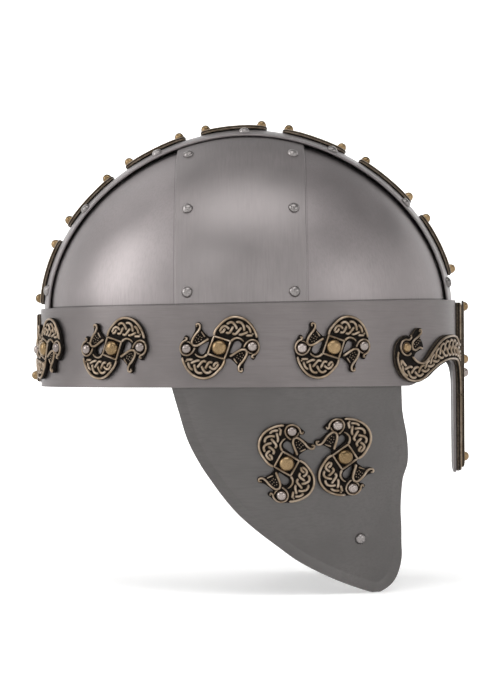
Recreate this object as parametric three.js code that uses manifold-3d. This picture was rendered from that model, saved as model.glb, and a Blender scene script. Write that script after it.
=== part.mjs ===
// A banded iron helmet with cast bronze mounts, in millimetres, +Z up, +X to the front.
// The origin is the middle of the head opening, level with the lower rim of the brow band.
import * as THREE from "three";
import { mergeVertices } from "three/addons/utils/BufferGeometryUtils.js";
import Module from "manifold-3d";

// Brow band: an ellipse in plan, cut in one with the nasal and the eye arches
const browHalfLength = 122.5;
const browHalfWidth = 101;
const browHeightRear = 45.5;
const browHeightFront = 49.5;
const sheet = 1.5;
const eyeArchReach = 77;
const eyeArchRise = 14;
const nasalHalfWidth = 11.5;
const nasalTipHalfWidth = 9.5;
const nasalDrop = 52;

// Dome: four panels under a cross band and a crest band
const fitGap = 0.3;
const crestEndGap = 0.7;
const domeBase = 46;
const domeFullness = 1.87;
const panelRise = 101.4;
const skirtBottom = 22;
const panelSeam = 0.8;
const crossBandWidth = 74;
const crossBandCentre = -4;
const crestBandWidth = 50;

// Cheek guards: hung behind the brow band, leaning in towards the jaw
const cheekTop = 14;
const cheekDrop = 116.6;
const cheekBackReach = 43;
const cheekFrontReach = 88;
const cheekLean = 13;
const cheekRimWidth = 5.5;
const cheekRimFlare = 1.2;
const cheekLeanPower = 1.25;
const cheekPlanLimit = 0.75;
const cheekTipReach = 0.8;

// Castings
const castingGap = 0.4;
const castingBase = 1.5;
const castingRelief = 1.1;
const dragonHalfLength = 22.3;
const browDragonHeight = 22.2;
const browDragonCount = 4;
const backPlaqueClearance = 2.2;
const eyebrowClearance = 16.8;
const cheekDragonTurn = 79;
const cheekDragonMismatch = 4;
const plaqueBase = 1.1;
const plaqueRelief = 0.8;
const plaqueLength = 39;
const plaqueWidth = 20;
const plaqueCorner = 0.32;
const plaqueCount = 7;
const plaqueEnds = { rear: 3, front: 15 };
const plaqueDomeSpacing = 32.4;
const backPlaqueWidth = 17;
const backPlaqueLength = 40;
const rimWidth = 1.5;
const nasalBarHalfWidth = 9.5;
const nasalRidgeHalfWidth = 5.5;
const nasalRidgeHeight = 1.5;

// Domes and rivets
const centreDomeRadius = 4;
const eyeDomeRadius = 2.7;
const eyeDomeHeight = 2.9;
const knobRadius = 2.8;
const knobHeight = 4.4;
const nasalKnobHeight = 3.4;
const centreDomeHeight = 3.6;
const rivetRadius = 3;
const rivetRise = 1.9;
const rivetGap = 0.1;
const chinShankRadius = 1.4;
const chinShankTail = 1.2;
const crossRivetInset = 7;
const crestRivetInset = 5.5;
const crestRivetCount = 7;
const crestRivetEnds = { rear: 8, front: 7.6 };

// How finely the curves are cut
const domeColumns = 36;
const domeRows = 8;
const browStep = 14;
const sliceStep = 15;
const domeSides = 6;
const rivetSides = 8;
const cheekColumns = 8;
const crestLineSteps = 400;
const browLineSteps = 1440;
const cutSlack = 1e-3;
const joinSlack = 1e-4;
const tiny = 1e-6;

// Layers of the dome, each told by its half length, half width and rise above the dome's base
const panelLayer = {
  halfLength: browHalfLength - 2 * sheet - 2 * crestEndGap,
  halfWidth: browHalfWidth - 2 * sheet - 2 * fitGap,
  rise: panelRise,
};
const crossLayer = grown(panelLayer, fitGap + sheet, fitGap + sheet);
const crestLayer = grown(panelLayer, crestEndGap + sheet, 2 * (fitGap + sheet));

// Further out than any piece goes
const reach = 2 * browHalfLength;

const wasm = await Module();
wasm.setup();

const steel = new THREE.MeshStandardMaterial({ color: 0x8f8e8c, roughness: 0.38, metalness: 1 });
const rivetSteel = new THREE.MeshStandardMaterial({ color: 0xb4b1ac, roughness: 0.3, metalness: 1 });
const bronze = new THREE.MeshStandardMaterial({ color: 0x8a6d45, roughness: 0.45, metalness: 1 });

const helmet = new THREE.Group();
helmet.name = "helmet";

// A layer moved out by so much at its ends and sides, and at its top.
function grown(layer, out, up) {
  return {
    halfLength: layer.halfLength + out,
    halfWidth: layer.halfWidth + up,
    rise: layer.rise + up,
  };
}

// A closed three.js geometry as a solid that can be cut and joined.
function solidOf(geometry) {
  const bare = new THREE.BufferGeometry();
  bare.setAttribute("position", geometry.getAttribute("position"));
  if (geometry.index) bare.setIndex(geometry.index);
  const merged = mergeVertices(bare, joinSlack);
  const corners = merged.index.array;
  const kept = [];
  for (let i = 0; i < corners.length; i += 3) {
    const [a, b, c] = corners.subarray(i, i + 3);
    if (a !== b && b !== c && c !== a) kept.push(a, b, c);
  }
  return new wasm.Manifold(new wasm.Mesh({
    numProp: 3,
    vertProperties: new Float32Array(merged.attributes.position.array),
    triVerts: new Uint32Array(kept),
  }));
}

// A solid's points and triangles as plain lists.
function facesOf(solid) {
  const mesh = solid.getMesh();
  const points = [];
  for (let i = 0; i < mesh.numVert; i++) {
    points.push(new THREE.Vector3().fromArray(mesh.vertProperties, i * mesh.numProp));
  }
  const triangles = [];
  for (let i = 0; i < mesh.triVerts.length; i += 3) triangles.push([...mesh.triVerts.slice(i, i + 3)]);
  return { points, triangles };
}

function geometryOf({ points, triangles }) {
  const geometry = new THREE.BufferGeometry();
  const places = points.flatMap((p) => [p.x, p.y, p.z]);
  geometry.setAttribute("position", new THREE.Float32BufferAttribute(places, 3));
  geometry.setIndex(triangles.flat());
  return geometry;
}

function addPiece(name, faces, material) {
  const piece = new THREE.Mesh(geometryOf(faces), material);
  piece.name = name;
  helmet.add(piece);
}

// The same faces on the other side of the helmet.
function mirrored({ points, triangles }) {
  return {
    points: points.map((p) => new THREE.Vector3(p.x, -p.y, p.z)),
    triangles: triangles.map(([a, b, c]) => [a, c, b]),
  };
}

function addPair(nameOfSide, faces, material) {
  addPiece(nameOfSide("right"), faces, material);
  addPiece(nameOfSide("left"), mirrored(faces), material);
}

// A block between two corners.
function block(low, high) {
  const box = new THREE.BoxGeometry(...low.map((v, i) => high[i] - v));
  box.translate(...low.map((v, i) => (v + high[i]) / 2));
  return solidOf(box);
}

// The full body of one dome layer, from its skirt to its top.
function domeBody(layer, skirt) {
  const profile = [new THREE.Vector2(0, skirt), new THREE.Vector2(1, skirt)];
  for (let row = 0; row <= domeRows; row++) {
    const turn = (Math.PI / 2) * (row / domeRows);
    const radius = row === domeRows ? 0 : Math.cos(turn) ** (2 / domeFullness);
    profile.push(new THREE.Vector2(radius, domeBase + layer.rise * Math.sin(turn) ** (2 / domeFullness)));
  }
  profile.push(profile[0].clone());
  const lathe = new THREE.LatheGeometry(profile, domeColumns);
  lathe.rotateX(Math.PI / 2);
  lathe.scale(layer.halfLength, layer.halfWidth, 1);
  return solidOf(lathe);
}

// A sheet of the layer, open below.
function domeShell(layer) {
  return domeBody(layer, skirtBottom).subtract(domeBody(grown(layer, -sheet, -sheet), skirtBottom - sheet));
}

// A point pushed straight out from the dome's centre onto the layer, with its outward direction.
function ontoDome(layer, x, y, z) {
  const rise = z - domeBase;
  if (rise <= 0) return ontoSkirt(layer, x, y, z);
  const plan = Math.hypot(x / layer.halfLength, y / layer.halfWidth);
  const size = (plan ** domeFullness + (rise / layer.rise) ** domeFullness) ** (1 / domeFullness);
  const point = new THREE.Vector3(x / size, y / size, domeBase + rise / size);
  const share = Math.max(plan / size, tiny) ** (domeFullness - 2);
  const normal = new THREE.Vector3(
    (share * point.x) / layer.halfLength ** 2,
    (share * point.y) / layer.halfWidth ** 2,
    (rise / size / layer.rise) ** (domeFullness - 1) / layer.rise,
  );
  return { point, normal: normal.normalize() };
}

function ontoSkirt(layer, x, y, z) {
  const plan = Math.hypot(x / layer.halfLength, y / layer.halfWidth);
  const point = new THREE.Vector3(x / plan, y / plan, z);
  const normal = new THREE.Vector3(point.x / layer.halfLength ** 2, point.y / layer.halfWidth ** 2, 0);
  return { point, normal: normal.normalize() };
}

// The layer's middle line from back to front: at gives the place at a length from the top, positive
// to the front, and lengthDownTo the length from the top down to a height.
function crestLine(layer) {
  const line = [{ length: 0, x: 0, z: domeBase + layer.rise }];
  for (let i = 1; i <= crestLineSteps; i++) {
    const turn = (Math.PI / 2) * (1 - i / crestLineSteps);
    const x = layer.halfLength * Math.cos(turn) ** (2 / domeFullness);
    const z = domeBase + layer.rise * Math.sin(turn) ** (2 / domeFullness);
    const last = line[line.length - 1];
    line.push({ length: last.length + Math.hypot(x - last.x, z - last.z), x, z });
  }
  const end = line[line.length - 1];
  line.push({ length: end.length + domeBase, x: end.x, z: 0 });
  const at = (length) => {
    const along = Math.abs(length);
    const next = line.findIndex((spot) => spot.length >= along);
    const [a, b] = [line[Math.max(next - 1, 0)], line[next]];
    const share = next > 0 ? (along - a.length) / (b.length - a.length) : 0;
    return { x: Math.sign(length) * (a.x + share * (b.x - a.x)), z: a.z + share * (b.z - a.z) };
  };
  const lengthDownTo = (height) => {
    const next = line.findIndex((spot) => spot.z <= height);
    const [a, b] = [line[next - 1], line[next]];
    return THREE.MathUtils.mapLinear(height, a.z, b.z, a.length, b.length);
  };
  return { at, lengthDownTo };
}

// The brow band's plan: distance round the band from the middle of the front to an angle.
function ellipseArc(halfLength, halfWidth) {
  const lengths = [0];
  for (let i = 1; i <= browLineSteps; i++) {
    const turn = (Math.PI * (i - 0.5)) / browLineSteps;
    const stretch = Math.hypot(halfLength * Math.sin(turn), halfWidth * Math.cos(turn));
    lengths.push(lengths[i - 1] + (stretch * Math.PI) / browLineSteps);
  }
  const half = lengths[browLineSteps];
  const angleAt = (arc) => {
    const turns = Math.round(arc / (2 * half));
    const along = Math.abs(arc - 2 * half * turns);
    const next = Math.max(lengths.findIndex((length) => length >= along - tiny), 1);
    const share = (along - lengths[next - 1]) / (lengths[next] - lengths[next - 1]);
    return (Math.sign(arc - 2 * half * turns) * Math.PI * (next - 1 + share)) / browLineSteps;
  };
  return { half, angleAt };
}

const browArc = ellipseArc(browHalfLength, browHalfWidth);

// A place on the brow band: arc from the middle of the front, positive to the wearer's left.
function ontoBrow(arc, height, out) {
  const angle = browArc.angleAt(arc);
  const x = browHalfLength * Math.cos(angle);
  const y = browHalfWidth * Math.sin(angle);
  const normal = new THREE.Vector2(x / browHalfLength ** 2, y / browHalfWidth ** 2).normalize();
  return new THREE.Vector3(x + out * normal.x, y + out * normal.y, height);
}

// Lower edge of the brow band from the nasal's tip out to the end of the eye arch.
// across: share of the nasal's half width, reach: share from there to the arch's end.
const nasalEdge = [
  { across: 0, drop: 1 },
  { across: 0.55, drop: 0.985 },
  { across: 0.85, drop: 0.95 },
  { across: 1, drop: 0.88 },
];
const archEdge = [
  { reach: 0, rise: 0.2 },
  { reach: 0.05, rise: 0.6 },
  { reach: 0.13, rise: 0.87 },
  { reach: 0.25, rise: 1 },
  { reach: 0.42, rise: 1 },
  { reach: 0.58, rise: 0.86 },
  { reach: 0.75, rise: 0.5 },
  { reach: 0.88, rise: 0.17 },
  { reach: 1, rise: 0 },
];

function browStations() {
  const half = [];
  for (const { across, drop } of nasalEdge) {
    half.push({ arc: across * nasalTipHalfWidth, low: -drop * nasalDrop });
  }
  for (const { reach, rise } of archEdge) {
    half.push({ arc: nasalHalfWidth + reach * (eyeArchReach - nasalHalfWidth), low: rise * eyeArchRise });
  }
  const rest = browArc.half - eyeArchReach;
  const count = Math.round(rest / browStep);
  for (let i = 1; i <= count; i++) half.push({ arc: eyeArchReach + (rest * i) / count, low: 0 });
  const other = half.slice(1, -1).map(({ arc, low }) => ({ arc: -arc, low }));
  return [...half, ...other.reverse()];
}

function browTop(arc) {
  const towardsFront = (1 + Math.cos(browArc.angleAt(arc))) / 2;
  return browHeightRear + (browHeightFront - browHeightRear) * towardsFront ** 2;
}

// A closed ring of four-cornered sections, each joined to the next.
function ringFaces(sections) {
  const sides = sections[0].length;
  const triangles = [];
  sections.forEach((section, i) => {
    const next = (i + 1) % sections.length;
    for (let k = 0; k < sides; k++) {
      const [a, b] = [i * sides + k, i * sides + ((k + 1) % sides)];
      const [c, d] = [next * sides + k, next * sides + ((k + 1) % sides)];
      triangles.push([a, c, b], [b, c, d]);
    }
  });
  return { points: sections.flat(), triangles };
}

function browBand() {
  const sections = browStations().map(({ arc, low }) => [
    ontoBrow(arc, low, 0),
    ontoBrow(arc, browTop(arc), 0),
    ontoBrow(arc, browTop(arc), -sheet),
    ontoBrow(arc, low, -sheet),
  ]);
  return solidOf(geometryOf(ringFaces(sections)));
}

// Cheek guard outline from its top behind the brow band to its tip.
// down: share of the drop, back and front: shares of the reaches at the rim.
const cheekOutline = [
  { down: 0, back: -1, front: 0.985 },
  { down: 0.12, back: -0.905, front: 0.99 },
  { down: 0.256, back: -0.79, front: 1.022 },
  { down: 0.373, back: -0.623, front: 1.025 },
  { down: 0.45, back: -0.481, front: 0.993 },
  { down: 0.528, back: -0.326, front: 0.982 },
  { down: 0.606, back: -0.142, front: 0.978 },
  { down: 0.683, back: 0.091, front: 0.983 },
  { down: 0.761, back: 0.365, front: 0.984 },
  { down: 0.838, back: 0.651, front: 0.986 },
  { down: 0.916, back: 1.05, front: 0.96 },
  { down: 0.955, back: 1.29, front: 0.93 },
  { down: 0.982, back: 1.48, front: 0.89 },
  { down: 1, back: 1.62, front: 0.845 },
];

// The guard's outer face: it follows the inside of the brow band and leans in below it.
function ontoCheek(x, z, out) {
  const halfLength = browHalfLength - sheet - 2 * fitGap;
  const halfWidth = browHalfWidth - sheet - 2 * fitGap;
  const lean = cheekLean * (Math.max(-z, 0) / cheekDrop) ** cheekLeanPower;
  const plan = Math.sqrt(1 - Math.min((x / halfLength) ** 2, cheekPlanLimit));
  return new THREE.Vector3(x, -(halfWidth * plan - lean + out), z);
}

// How far the flared rim stands out, from the distance to the guard's edge.
function rimFlare(distance) {
  const share = Math.min(Math.max(1 - distance / cheekRimWidth, 0), 1);
  return cheekRimFlare * share * share * (3 - 2 * share);
}

function cheekGuard() {
  const rows = cheekOutline.map(({ down, back, front }) => ({
    z: -down * cheekDrop,
    back: back * cheekBackReach,
    front: front * cheekFrontReach,
  }));
  rows.unshift({ ...rows[0], z: cheekTop });
  const outer = [];
  const inner = [];
  const last = rows.length - 1;
  rows.forEach(({ z, back, front }, row) => {
    const width = front - back;
    const rim = Math.min(cheekRimWidth, width / 3);
    for (let column = 0; column <= cheekColumns; column++) {
      const edge = Math.min(column, cheekColumns - column);
      const within = rim + ((width - 2 * rim) * (column - 1)) / (cheekColumns - 2);
      const atEdge = column === 0 ? 0 : width;
      const along = edge === 0 ? atEdge : within;
      const toTip = row === last ? 0 : (cheekDrop + z) * cheekTipReach;
      const toSide = Math.min(along, width - along);
      const flare = z > -sheet ? 0 : rimFlare(Math.min(toSide, toTip));
      outer.push(ontoCheek(back + along, z, flare));
      inner.push(ontoCheek(back + along, z, flare - sheet));
    }
  });
  return solidOf(geometryOf(plateFaces(outer, inner, rows.length, cheekColumns + 1)));
}

// A closed plate from two like grids of points, the first of them outside.
function plateFaces(outer, inner, rowCount, columnCount) {
  const triangles = [];
  const at = (row, column) => row * columnCount + column;
  const under = outer.length;
  for (let row = 0; row < rowCount - 1; row++) {
    for (let column = 0; column < columnCount - 1; column++) {
      const [a, b] = [at(row, column), at(row, column + 1)];
      const [c, d] = [at(row + 1, column), at(row + 1, column + 1)];
      triangles.push([a, c, b], [b, c, d]);
      triangles.push([a + under, b + under, c + under], [b + under, d + under, c + under]);
    }
  }
  const rim = [];
  for (let column = 0; column < columnCount - 1; column++) rim.push(at(0, column));
  for (let row = 0; row < rowCount - 1; row++) rim.push(at(row, columnCount - 1));
  for (let column = columnCount - 1; column > 0; column--) rim.push(at(rowCount - 1, column));
  for (let row = rowCount - 1; row > 0; row--) rim.push(at(row, 0));
  rim.forEach((a, i) => {
    const b = rim[(i + 1) % rim.length];
    triangles.push([a, b, a + under], [b, b + under, a + under]);
  });
  return { points: [...outer, ...inner], triangles };
}

// A flat outline with openings, raised from one height to another.
function slab(outline, openings, low, high) {
  const corners = outline.map(([u, v]) => new THREE.Vector2(u, v));
  if (THREE.ShapeUtils.isClockWise(corners)) corners.reverse();
  const shape = new THREE.Shape(corners);
  for (const opening of openings) {
    shape.holes.push(new THREE.Path(opening.map(([u, v]) => new THREE.Vector2(u, v))));
  }
  const body = new THREE.ExtrudeGeometry(shape, { depth: high - low, bevelEnabled: false });
  body.translate(0, 0, low);
  return solidOf(body);
}

// A round dome on a flat casting.
function dome(u, v, radius, height, seat) {
  const profile = [
    new THREE.Vector2(0, seat),
    new THREE.Vector2(radius, seat),
    new THREE.Vector2(0.8 * radius, seat + 0.65 * height),
    new THREE.Vector2(0, seat + height),
    new THREE.Vector2(0, seat),
  ];
  const lathe = new THREE.LatheGeometry(profile, domeSides);
  lathe.rotateX(Math.PI / 2);
  lathe.translate(u, v, 0);
  return solidOf(lathe);
}

// A flat casting bent by a function of its flat place: it is cut across in strips, each strip is
// bent, and the faces along the cuts are left out, so that the strips join again.
function bent(casting, place) {
  const { min, max } = casting.boundingBox();
  const points = [];
  let triangles = [];
  for (let low = (Math.floor(min[0] / sliceStep + 0.5) - 0.5) * sliceStep; low < max[0]; low += sliceStep) {
    const high = low + sliceStep;
    const strip = facesOf(casting.intersect(block([low, -reach, -reach], [high, reach, reach])));
    const onCut = (triangle, cut) => triangle.every((i) => Math.abs(strip.points[i].x - cut) < cutSlack);
    const start = points.length;
    const kept = strip.triangles.filter((triangle) => !onCut(triangle, low) && !onCut(triangle, high));
    triangles.push(...kept.map((triangle) => triangle.map((i) => i + start)));
    points.push(...strip.points);
    triangles = matchedAlong(points, triangles, low);
  }
  return { points: points.map((p) => place(p.x, p.y, p.z)), triangles };
}

// Splits the triangles with an edge on a cut wherever a point from the cut's other side lies on that edge.
function matchedAlong(points, triangles, cut) {
  const onCut = points.flatMap((p, i) => (Math.abs(p.x - cut) < cutSlack ? [i] : []));
  const between = (a, b) => onCut.find((i) => {
    const [toA, toB] = [points[i].distanceTo(points[a]), points[i].distanceTo(points[b])];
    return Math.min(toA, toB) > cutSlack && toA + toB < points[a].distanceTo(points[b]) + cutSlack / 10;
  });
  const done = [];
  const left = [...triangles];
  while (left.length > 0) {
    const triangle = left.pop();
    const corner = [0, 1, 2].find((i) => {
      const [a, b] = [triangle[i], triangle[(i + 1) % 3]];
      return onCut.includes(a) && onCut.includes(b) && between(a, b) !== undefined;
    });
    if (corner === undefined) {
      done.push(triangle);
      continue;
    }
    const [a, b, c] = [0, 1, 2].map((i) => triangle[(corner + i) % 3]);
    const middle = between(a, b);
    left.push([a, middle, c], [middle, b, c]);
  }
  return done;
}

// One half of the S-shaped beast, as shares of its half length. The other half is turned round.
const dragonOutline = [
  [-0.135, 0.314], [-0.013, 0.556], [0.197, 0.74], [0.408, 0.794], [0.65, 0.722], [0.843, 0.53],
  [1, 0.027], [0.937, -0.161], [0.85, -0.31], [0.76, -0.17], [0.66, -0.32],
  [0.59, -0.44], [0.585, -0.6], [0.47, -0.61], [0.43, -0.43], [0.233, -0.265],
];
const dragonPiercing = [
  [0.265, -0.143], [0.386, 0.143], [0.466, 0.161], [0.56, 0.07], [0.43, -0.081],
];
const dragonLobe = [
  [-0.054, 0.341], [0.054, 0.529], [0.233, 0.682], [0.413, 0.726], [0.61, 0.659], [0.78, 0.489],
  [0.861, 0.305], [0.296, 0.233],
];
const dragonEye = [0.812, 0.022];

function scaled(shares, size) {
  return shares.map(([u, v]) => [u * size, v * size]);
}

function turned(points) {
  return points.map(([u, v]) => [-u, -v]);
}

function dragonCasting() {
  const half = scaled(dragonOutline, dragonHalfLength);
  const outline = [...half, ...turned(half)];
  const piercing = scaled(dragonPiercing, dragonHalfLength);
  const lobe = scaled(dragonLobe, dragonHalfLength);
  const piercings = [piercing, turned(piercing)];
  const top = castingBase + castingRelief;
  const [eyeU, eyeV] = dragonEye.map((share) => share * dragonHalfLength);
  const casting = slab(outline, piercings, 0, top)
    .subtract(slab(lobe, [], castingBase, top + sheet))
    .subtract(slab(turned(lobe), [], castingBase, top + sheet))
    .add(dome(0, 0, centreDomeRadius, centreDomeHeight, castingBase))
    .add(dome(eyeU, eyeV, eyeDomeRadius, eyeDomeHeight, castingBase))
    .add(dome(-eyeU, -eyeV, eyeDomeRadius, eyeDomeHeight, castingBase));
  return casting;
}

// An outline's points moved in by a distance, for a recess within a rim.
function inset(outline, distance) {
  return outline.map((point, i) => {
    const before = outline[(i + outline.length - 1) % outline.length];
    const after = outline[(i + 1) % outline.length];
    const along = new THREE.Vector2(after[0] - before[0], after[1] - before[1]).normalize();
    return [point[0] + along.y * distance, point[1] - along.x * distance];
  });
}

// A plait plaque: a long rounded tablet with a raised rim and a dome near each end that has one.
function plaqueCasting(length, width, domes) {
  const corner = width * plaqueCorner;
  const [u, v] = [length / 2, width / 2];
  const outline = [
    [u - corner, v], [-u + corner, v], [-u + 0.25 * corner, v - 0.4 * corner], [-u, v - 1.1 * corner],
    [-u, -v + 1.1 * corner], [-u + 0.25 * corner, -v + 0.4 * corner], [-u + corner, -v], [u - corner, -v],
    [u - 0.25 * corner, -v + 0.4 * corner], [u, -v + 1.1 * corner], [u, v - 1.1 * corner],
    [u - 0.25 * corner, v - 0.4 * corner],
  ];
  const top = plaqueBase + plaqueRelief;
  const recess = slab(inset(outline, -rimWidth), [], plaqueBase, top + sheet);
  let casting = slab(outline, [], 0, top).subtract(recess);
  for (const place of domes) {
    casting = casting.add(dome(place, 0, knobRadius, knobHeight, plaqueBase));
  }
  return casting;
}

// The eyebrow beast on one side, from the nasal bar out and back along its lower edge: distance
// round the band as a share of the eye arch's reach, and height as a share of the band's at the front.
const eyebrowOutline = [
  [0.21, 0.455], [0.34, 0.575], [0.5, 0.58], [0.64, 0.545], [0.76, 0.42],
  [0.84, 0.3], [0.92, 0.27], [0.97, 0.35], [0.9, 0.41], [0.9, 0.56], [0.86, 0.66], [0.96, 0.66],
  [1, 0.53], [1.06, 0.57], [1.13, 0.5], [1.16, 0.38], [1.135, 0.24], [1.08, 0.11], [1, 0.045],
  [0.9, 0.045], [0.8, 0.1], [0.64, 0.23], [0.49, 0.285], [0.34, 0.29], [0.235, 0.24], [0.165, 0.1],
];
const eyebrowRecess = [
  [0.21, 0.405], [0.35, 0.53], [0.5, 0.535], [0.63, 0.5], [0.74, 0.385], [0.83, 0.255], [0.93, 0.225],
  [1.02, 0.27], [1.1, 0.3], [1.085, 0.2], [1.035, 0.125], [0.97, 0.09], [0.9, 0.095], [0.81, 0.15],
  [0.65, 0.28], [0.5, 0.335], [0.34, 0.34], [0.22, 0.3],
];
const eyebrowEye = [1.052, 0.44];
// The bar's side above the beast and just below it, its tip, its ridge and the knobs on it
const barSide = { top: 0.99, beast: 0.46, below: -0.1 };
const nasalTip = [[1, -0.88], [0.8, -0.96], [0.45, -0.985]];
const ridgeSpan = { low: -0.94, high: 0.95 };
const nasalKnobs = [0.93, 0.3, 0.14, -0.82];

function nasalCasting() {
  const place = ([arc, height]) => [arc * eyeArchReach, height * browHeightFront];
  const right = [
    [nasalBarHalfWidth, barSide.top * browHeightFront],
    [nasalBarHalfWidth, barSide.beast * browHeightFront],
    ...eyebrowOutline.map(place),
    [nasalBarHalfWidth, barSide.below * browHeightFront],
    ...nasalTip.map(([across, drop]) => [across * (nasalTipHalfWidth - fitGap), drop * nasalDrop + fitGap]),
  ];
  const other = right.map(([arc, height]) => [-arc, height]).reverse();
  const outline = [...right, ...other];
  const recess = eyebrowRecess.map(place);
  const otherRecess = recess.map(([arc, height]) => [-arc, height]);
  const top = castingBase + castingRelief;
  const [eyeArc, eyeHeight] = place(eyebrowEye);
  let casting = slab(outline, [], 0, top)
    .subtract(slab(recess, [], castingBase, top + sheet))
    .subtract(slab(otherRecess, [], castingBase, top + sheet))
    .add(dome(eyeArc, eyeHeight, eyeDomeRadius, eyeDomeHeight, castingBase))
    .add(dome(-eyeArc, eyeHeight, eyeDomeRadius, eyeDomeHeight, castingBase));
  const ridgeTop = top + nasalRidgeHeight;
  const [ridgeLow, ridgeHigh] = [ridgeSpan.low * nasalDrop, ridgeSpan.high * browHeightFront];
  const ridge = [
    [nasalRidgeHalfWidth, ridgeHigh], [-nasalRidgeHalfWidth, ridgeHigh],
    [-nasalRidgeHalfWidth, ridgeLow], [nasalRidgeHalfWidth, ridgeLow],
  ];
  casting = casting.add(slab(ridge, [], castingBase, ridgeTop));
  for (const knob of nasalKnobs) {
    const height = knob > 0 ? knob * browHeightFront : knob * nasalDrop;
    casting = casting.add(dome(0, height, knobRadius, nasalKnobHeight, ridgeTop - fitGap));
  }
  return casting;
}

// A round-headed rivet along +Z, with its head from z = 0 up, and a shank where it has one.
function rivetBody(shankRadius, depth) {
  const shank = [
    new THREE.Vector2(0, -depth),
    new THREE.Vector2(shankRadius, -depth),
    new THREE.Vector2(shankRadius, 0),
  ];
  const head = [
    new THREE.Vector2(rivetRadius, 0),
    new THREE.Vector2(0.75 * rivetRadius, 0.7 * rivetRise),
    new THREE.Vector2(0, rivetRise),
  ];
  const foot = depth > 0 ? shank : [new THREE.Vector2(0, 0)];
  const lathe = new THREE.LatheGeometry([...foot, ...head, foot[0].clone()], rivetSides);
  lathe.rotateX(Math.PI / 2);
  return lathe;
}

function drillBody(radius, depth) {
  const drill = new THREE.CylinderGeometry(radius, radius, 2 * depth, rivetSides);
  drill.rotateX(Math.PI / 2);
  return drill;
}

// A geometry made along +Z, set at a point and turned to a direction.
function setAlong(geometry, point, normal) {
  const turn = new THREE.Quaternion().setFromUnitVectors(new THREE.Vector3(0, 0, 1), normal);
  return geometry.applyQuaternion(turn).translate(point.x, point.y, point.z);
}

// Heights of the rivets along the cross band's edges, as shares of its rise
const crossRivetRises = [0.07, 0.53, 0.85];

// The middle of one of several things spaced evenly along the crest. ends: how far the first and the
// last of them stay above the brow band, half: half the length of each.
function alongCrest(path, ends, half, count, i) {
  const low = -(path.lengthDownTo(browHeightRear) - ends.rear - half);
  const high = path.lengthDownTo(browHeightFront) - ends.front - half;
  return THREE.MathUtils.lerp(low, high, i / (count - 1));
}

// Each rivet head's seat on a dome layer.
function rivetSeats() {
  const seats = [];
  for (const end of [-1, 1]) {
    const x = crossBandCentre + end * (crossBandWidth / 2 - crossRivetInset);
    crossRivetRises.forEach((share, i) => {
      const rise = share * crossLayer.rise;
      const plan = (1 - share ** domeFullness) ** (1 / domeFullness);
      const y = -crossLayer.halfWidth * Math.sqrt(plan ** 2 - (x / crossLayer.halfLength) ** 2);
      const number = end < 0 ? i + 1 : i + 1 + crossRivetRises.length;
      seats.push({ name: "cross", number, layer: crossLayer, at: [x, y, domeBase + rise] });
    });
  }
  for (let i = 0; i < crestRivetCount; i++) {
    const spot = crestPath.at(alongCrest(crestPath, crestRivetEnds, rivetRadius, crestRivetCount, i));
    const y = -(crestBandWidth / 2 - crestRivetInset);
    seats.push({ name: "crest", number: i + 1, layer: crestLayer, at: [spot.x, y, spot.z] });
  }
  return seats;
}

const crestPath = crestLine(crestLayer);

// Steel dome: shells cut to their bands and panels
const crossRegion = block(
  [crossBandCentre - crossBandWidth / 2, -reach, -reach],
  [crossBandCentre + crossBandWidth / 2, reach, reach],
);
const crestRegion = block([-reach, -crestBandWidth / 2, -reach], [reach, crestBandWidth / 2, reach]);
addPiece("cross_band", facesOf(domeShell(crossLayer).intersect(crossRegion)), steel);
addPiece("crest_band", facesOf(domeShell(crestLayer).intersect(crestRegion)), steel);

const panels = domeShell(panelLayer);
const panelRegions = {
  front: [crossBandCentre + panelSeam / 2, reach],
  rear: [-reach, crossBandCentre - panelSeam / 2],
};
for (const [end, [low, high]] of Object.entries(panelRegions)) {
  const panel = panels.intersect(block([low, -reach, -reach], [high, -panelSeam / 2, reach]));
  addPair((side) => `panel_${end}_${side}`, facesOf(panel), steel);
}

// Rivet heads on the bands
for (const { name, number, layer, at } of rivetSeats()) {
  const { point, normal } = ontoDome(layer, ...at);
  const body = solidOf(setAlong(rivetBody(0, 0), point.addScaledVector(normal, rivetGap), normal));
  addPair((side) => `rivet_${name}_${side}_${number}`, facesOf(body), rivetSteel);
}

addPiece("brow_band", facesOf(browBand()), steel);

// Cheek guards with their chin strap rivets
const chinRivetPlace = { x: 0.7114 * cheekFrontReach, z: -0.7376 * cheekDrop };
const chinSeat = ontoCheek(chinRivetPlace.x, chinRivetPlace.z, 0);
const chinNormal = outwardOf(ontoCheek, chinRivetPlace.x, chinRivetPlace.z);
const chinDepth = fitGap + sheet + chinShankTail;
const chinHole = drillBody(chinShankRadius + fitGap, chinDepth + sheet);
const cheekDrill = solidOf(setAlong(chinHole, chinSeat, chinNormal));
addPair((side) => `cheek_guard_${side}`, facesOf(cheekGuard().subtract(cheekDrill)), steel);
const chinHead = chinSeat.clone().addScaledVector(chinNormal, fitGap);
const chinRivet = setAlong(rivetBody(chinShankRadius, chinDepth), chinHead, chinNormal);
addPair((side) => `rivet_chin_${side}`, facesOf(solidOf(chinRivet)), rivetSteel);

// The direction straight out of a surface given by two places along it.
function outwardOf(surface, u, v) {
  const small = 0.5;
  const alongU = surface(u + small, v, 0).sub(surface(u - small, v, 0));
  const alongV = surface(u, v + small, 0).sub(surface(u, v - small, 0));
  return alongU.cross(alongV).normalize();
}

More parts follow.
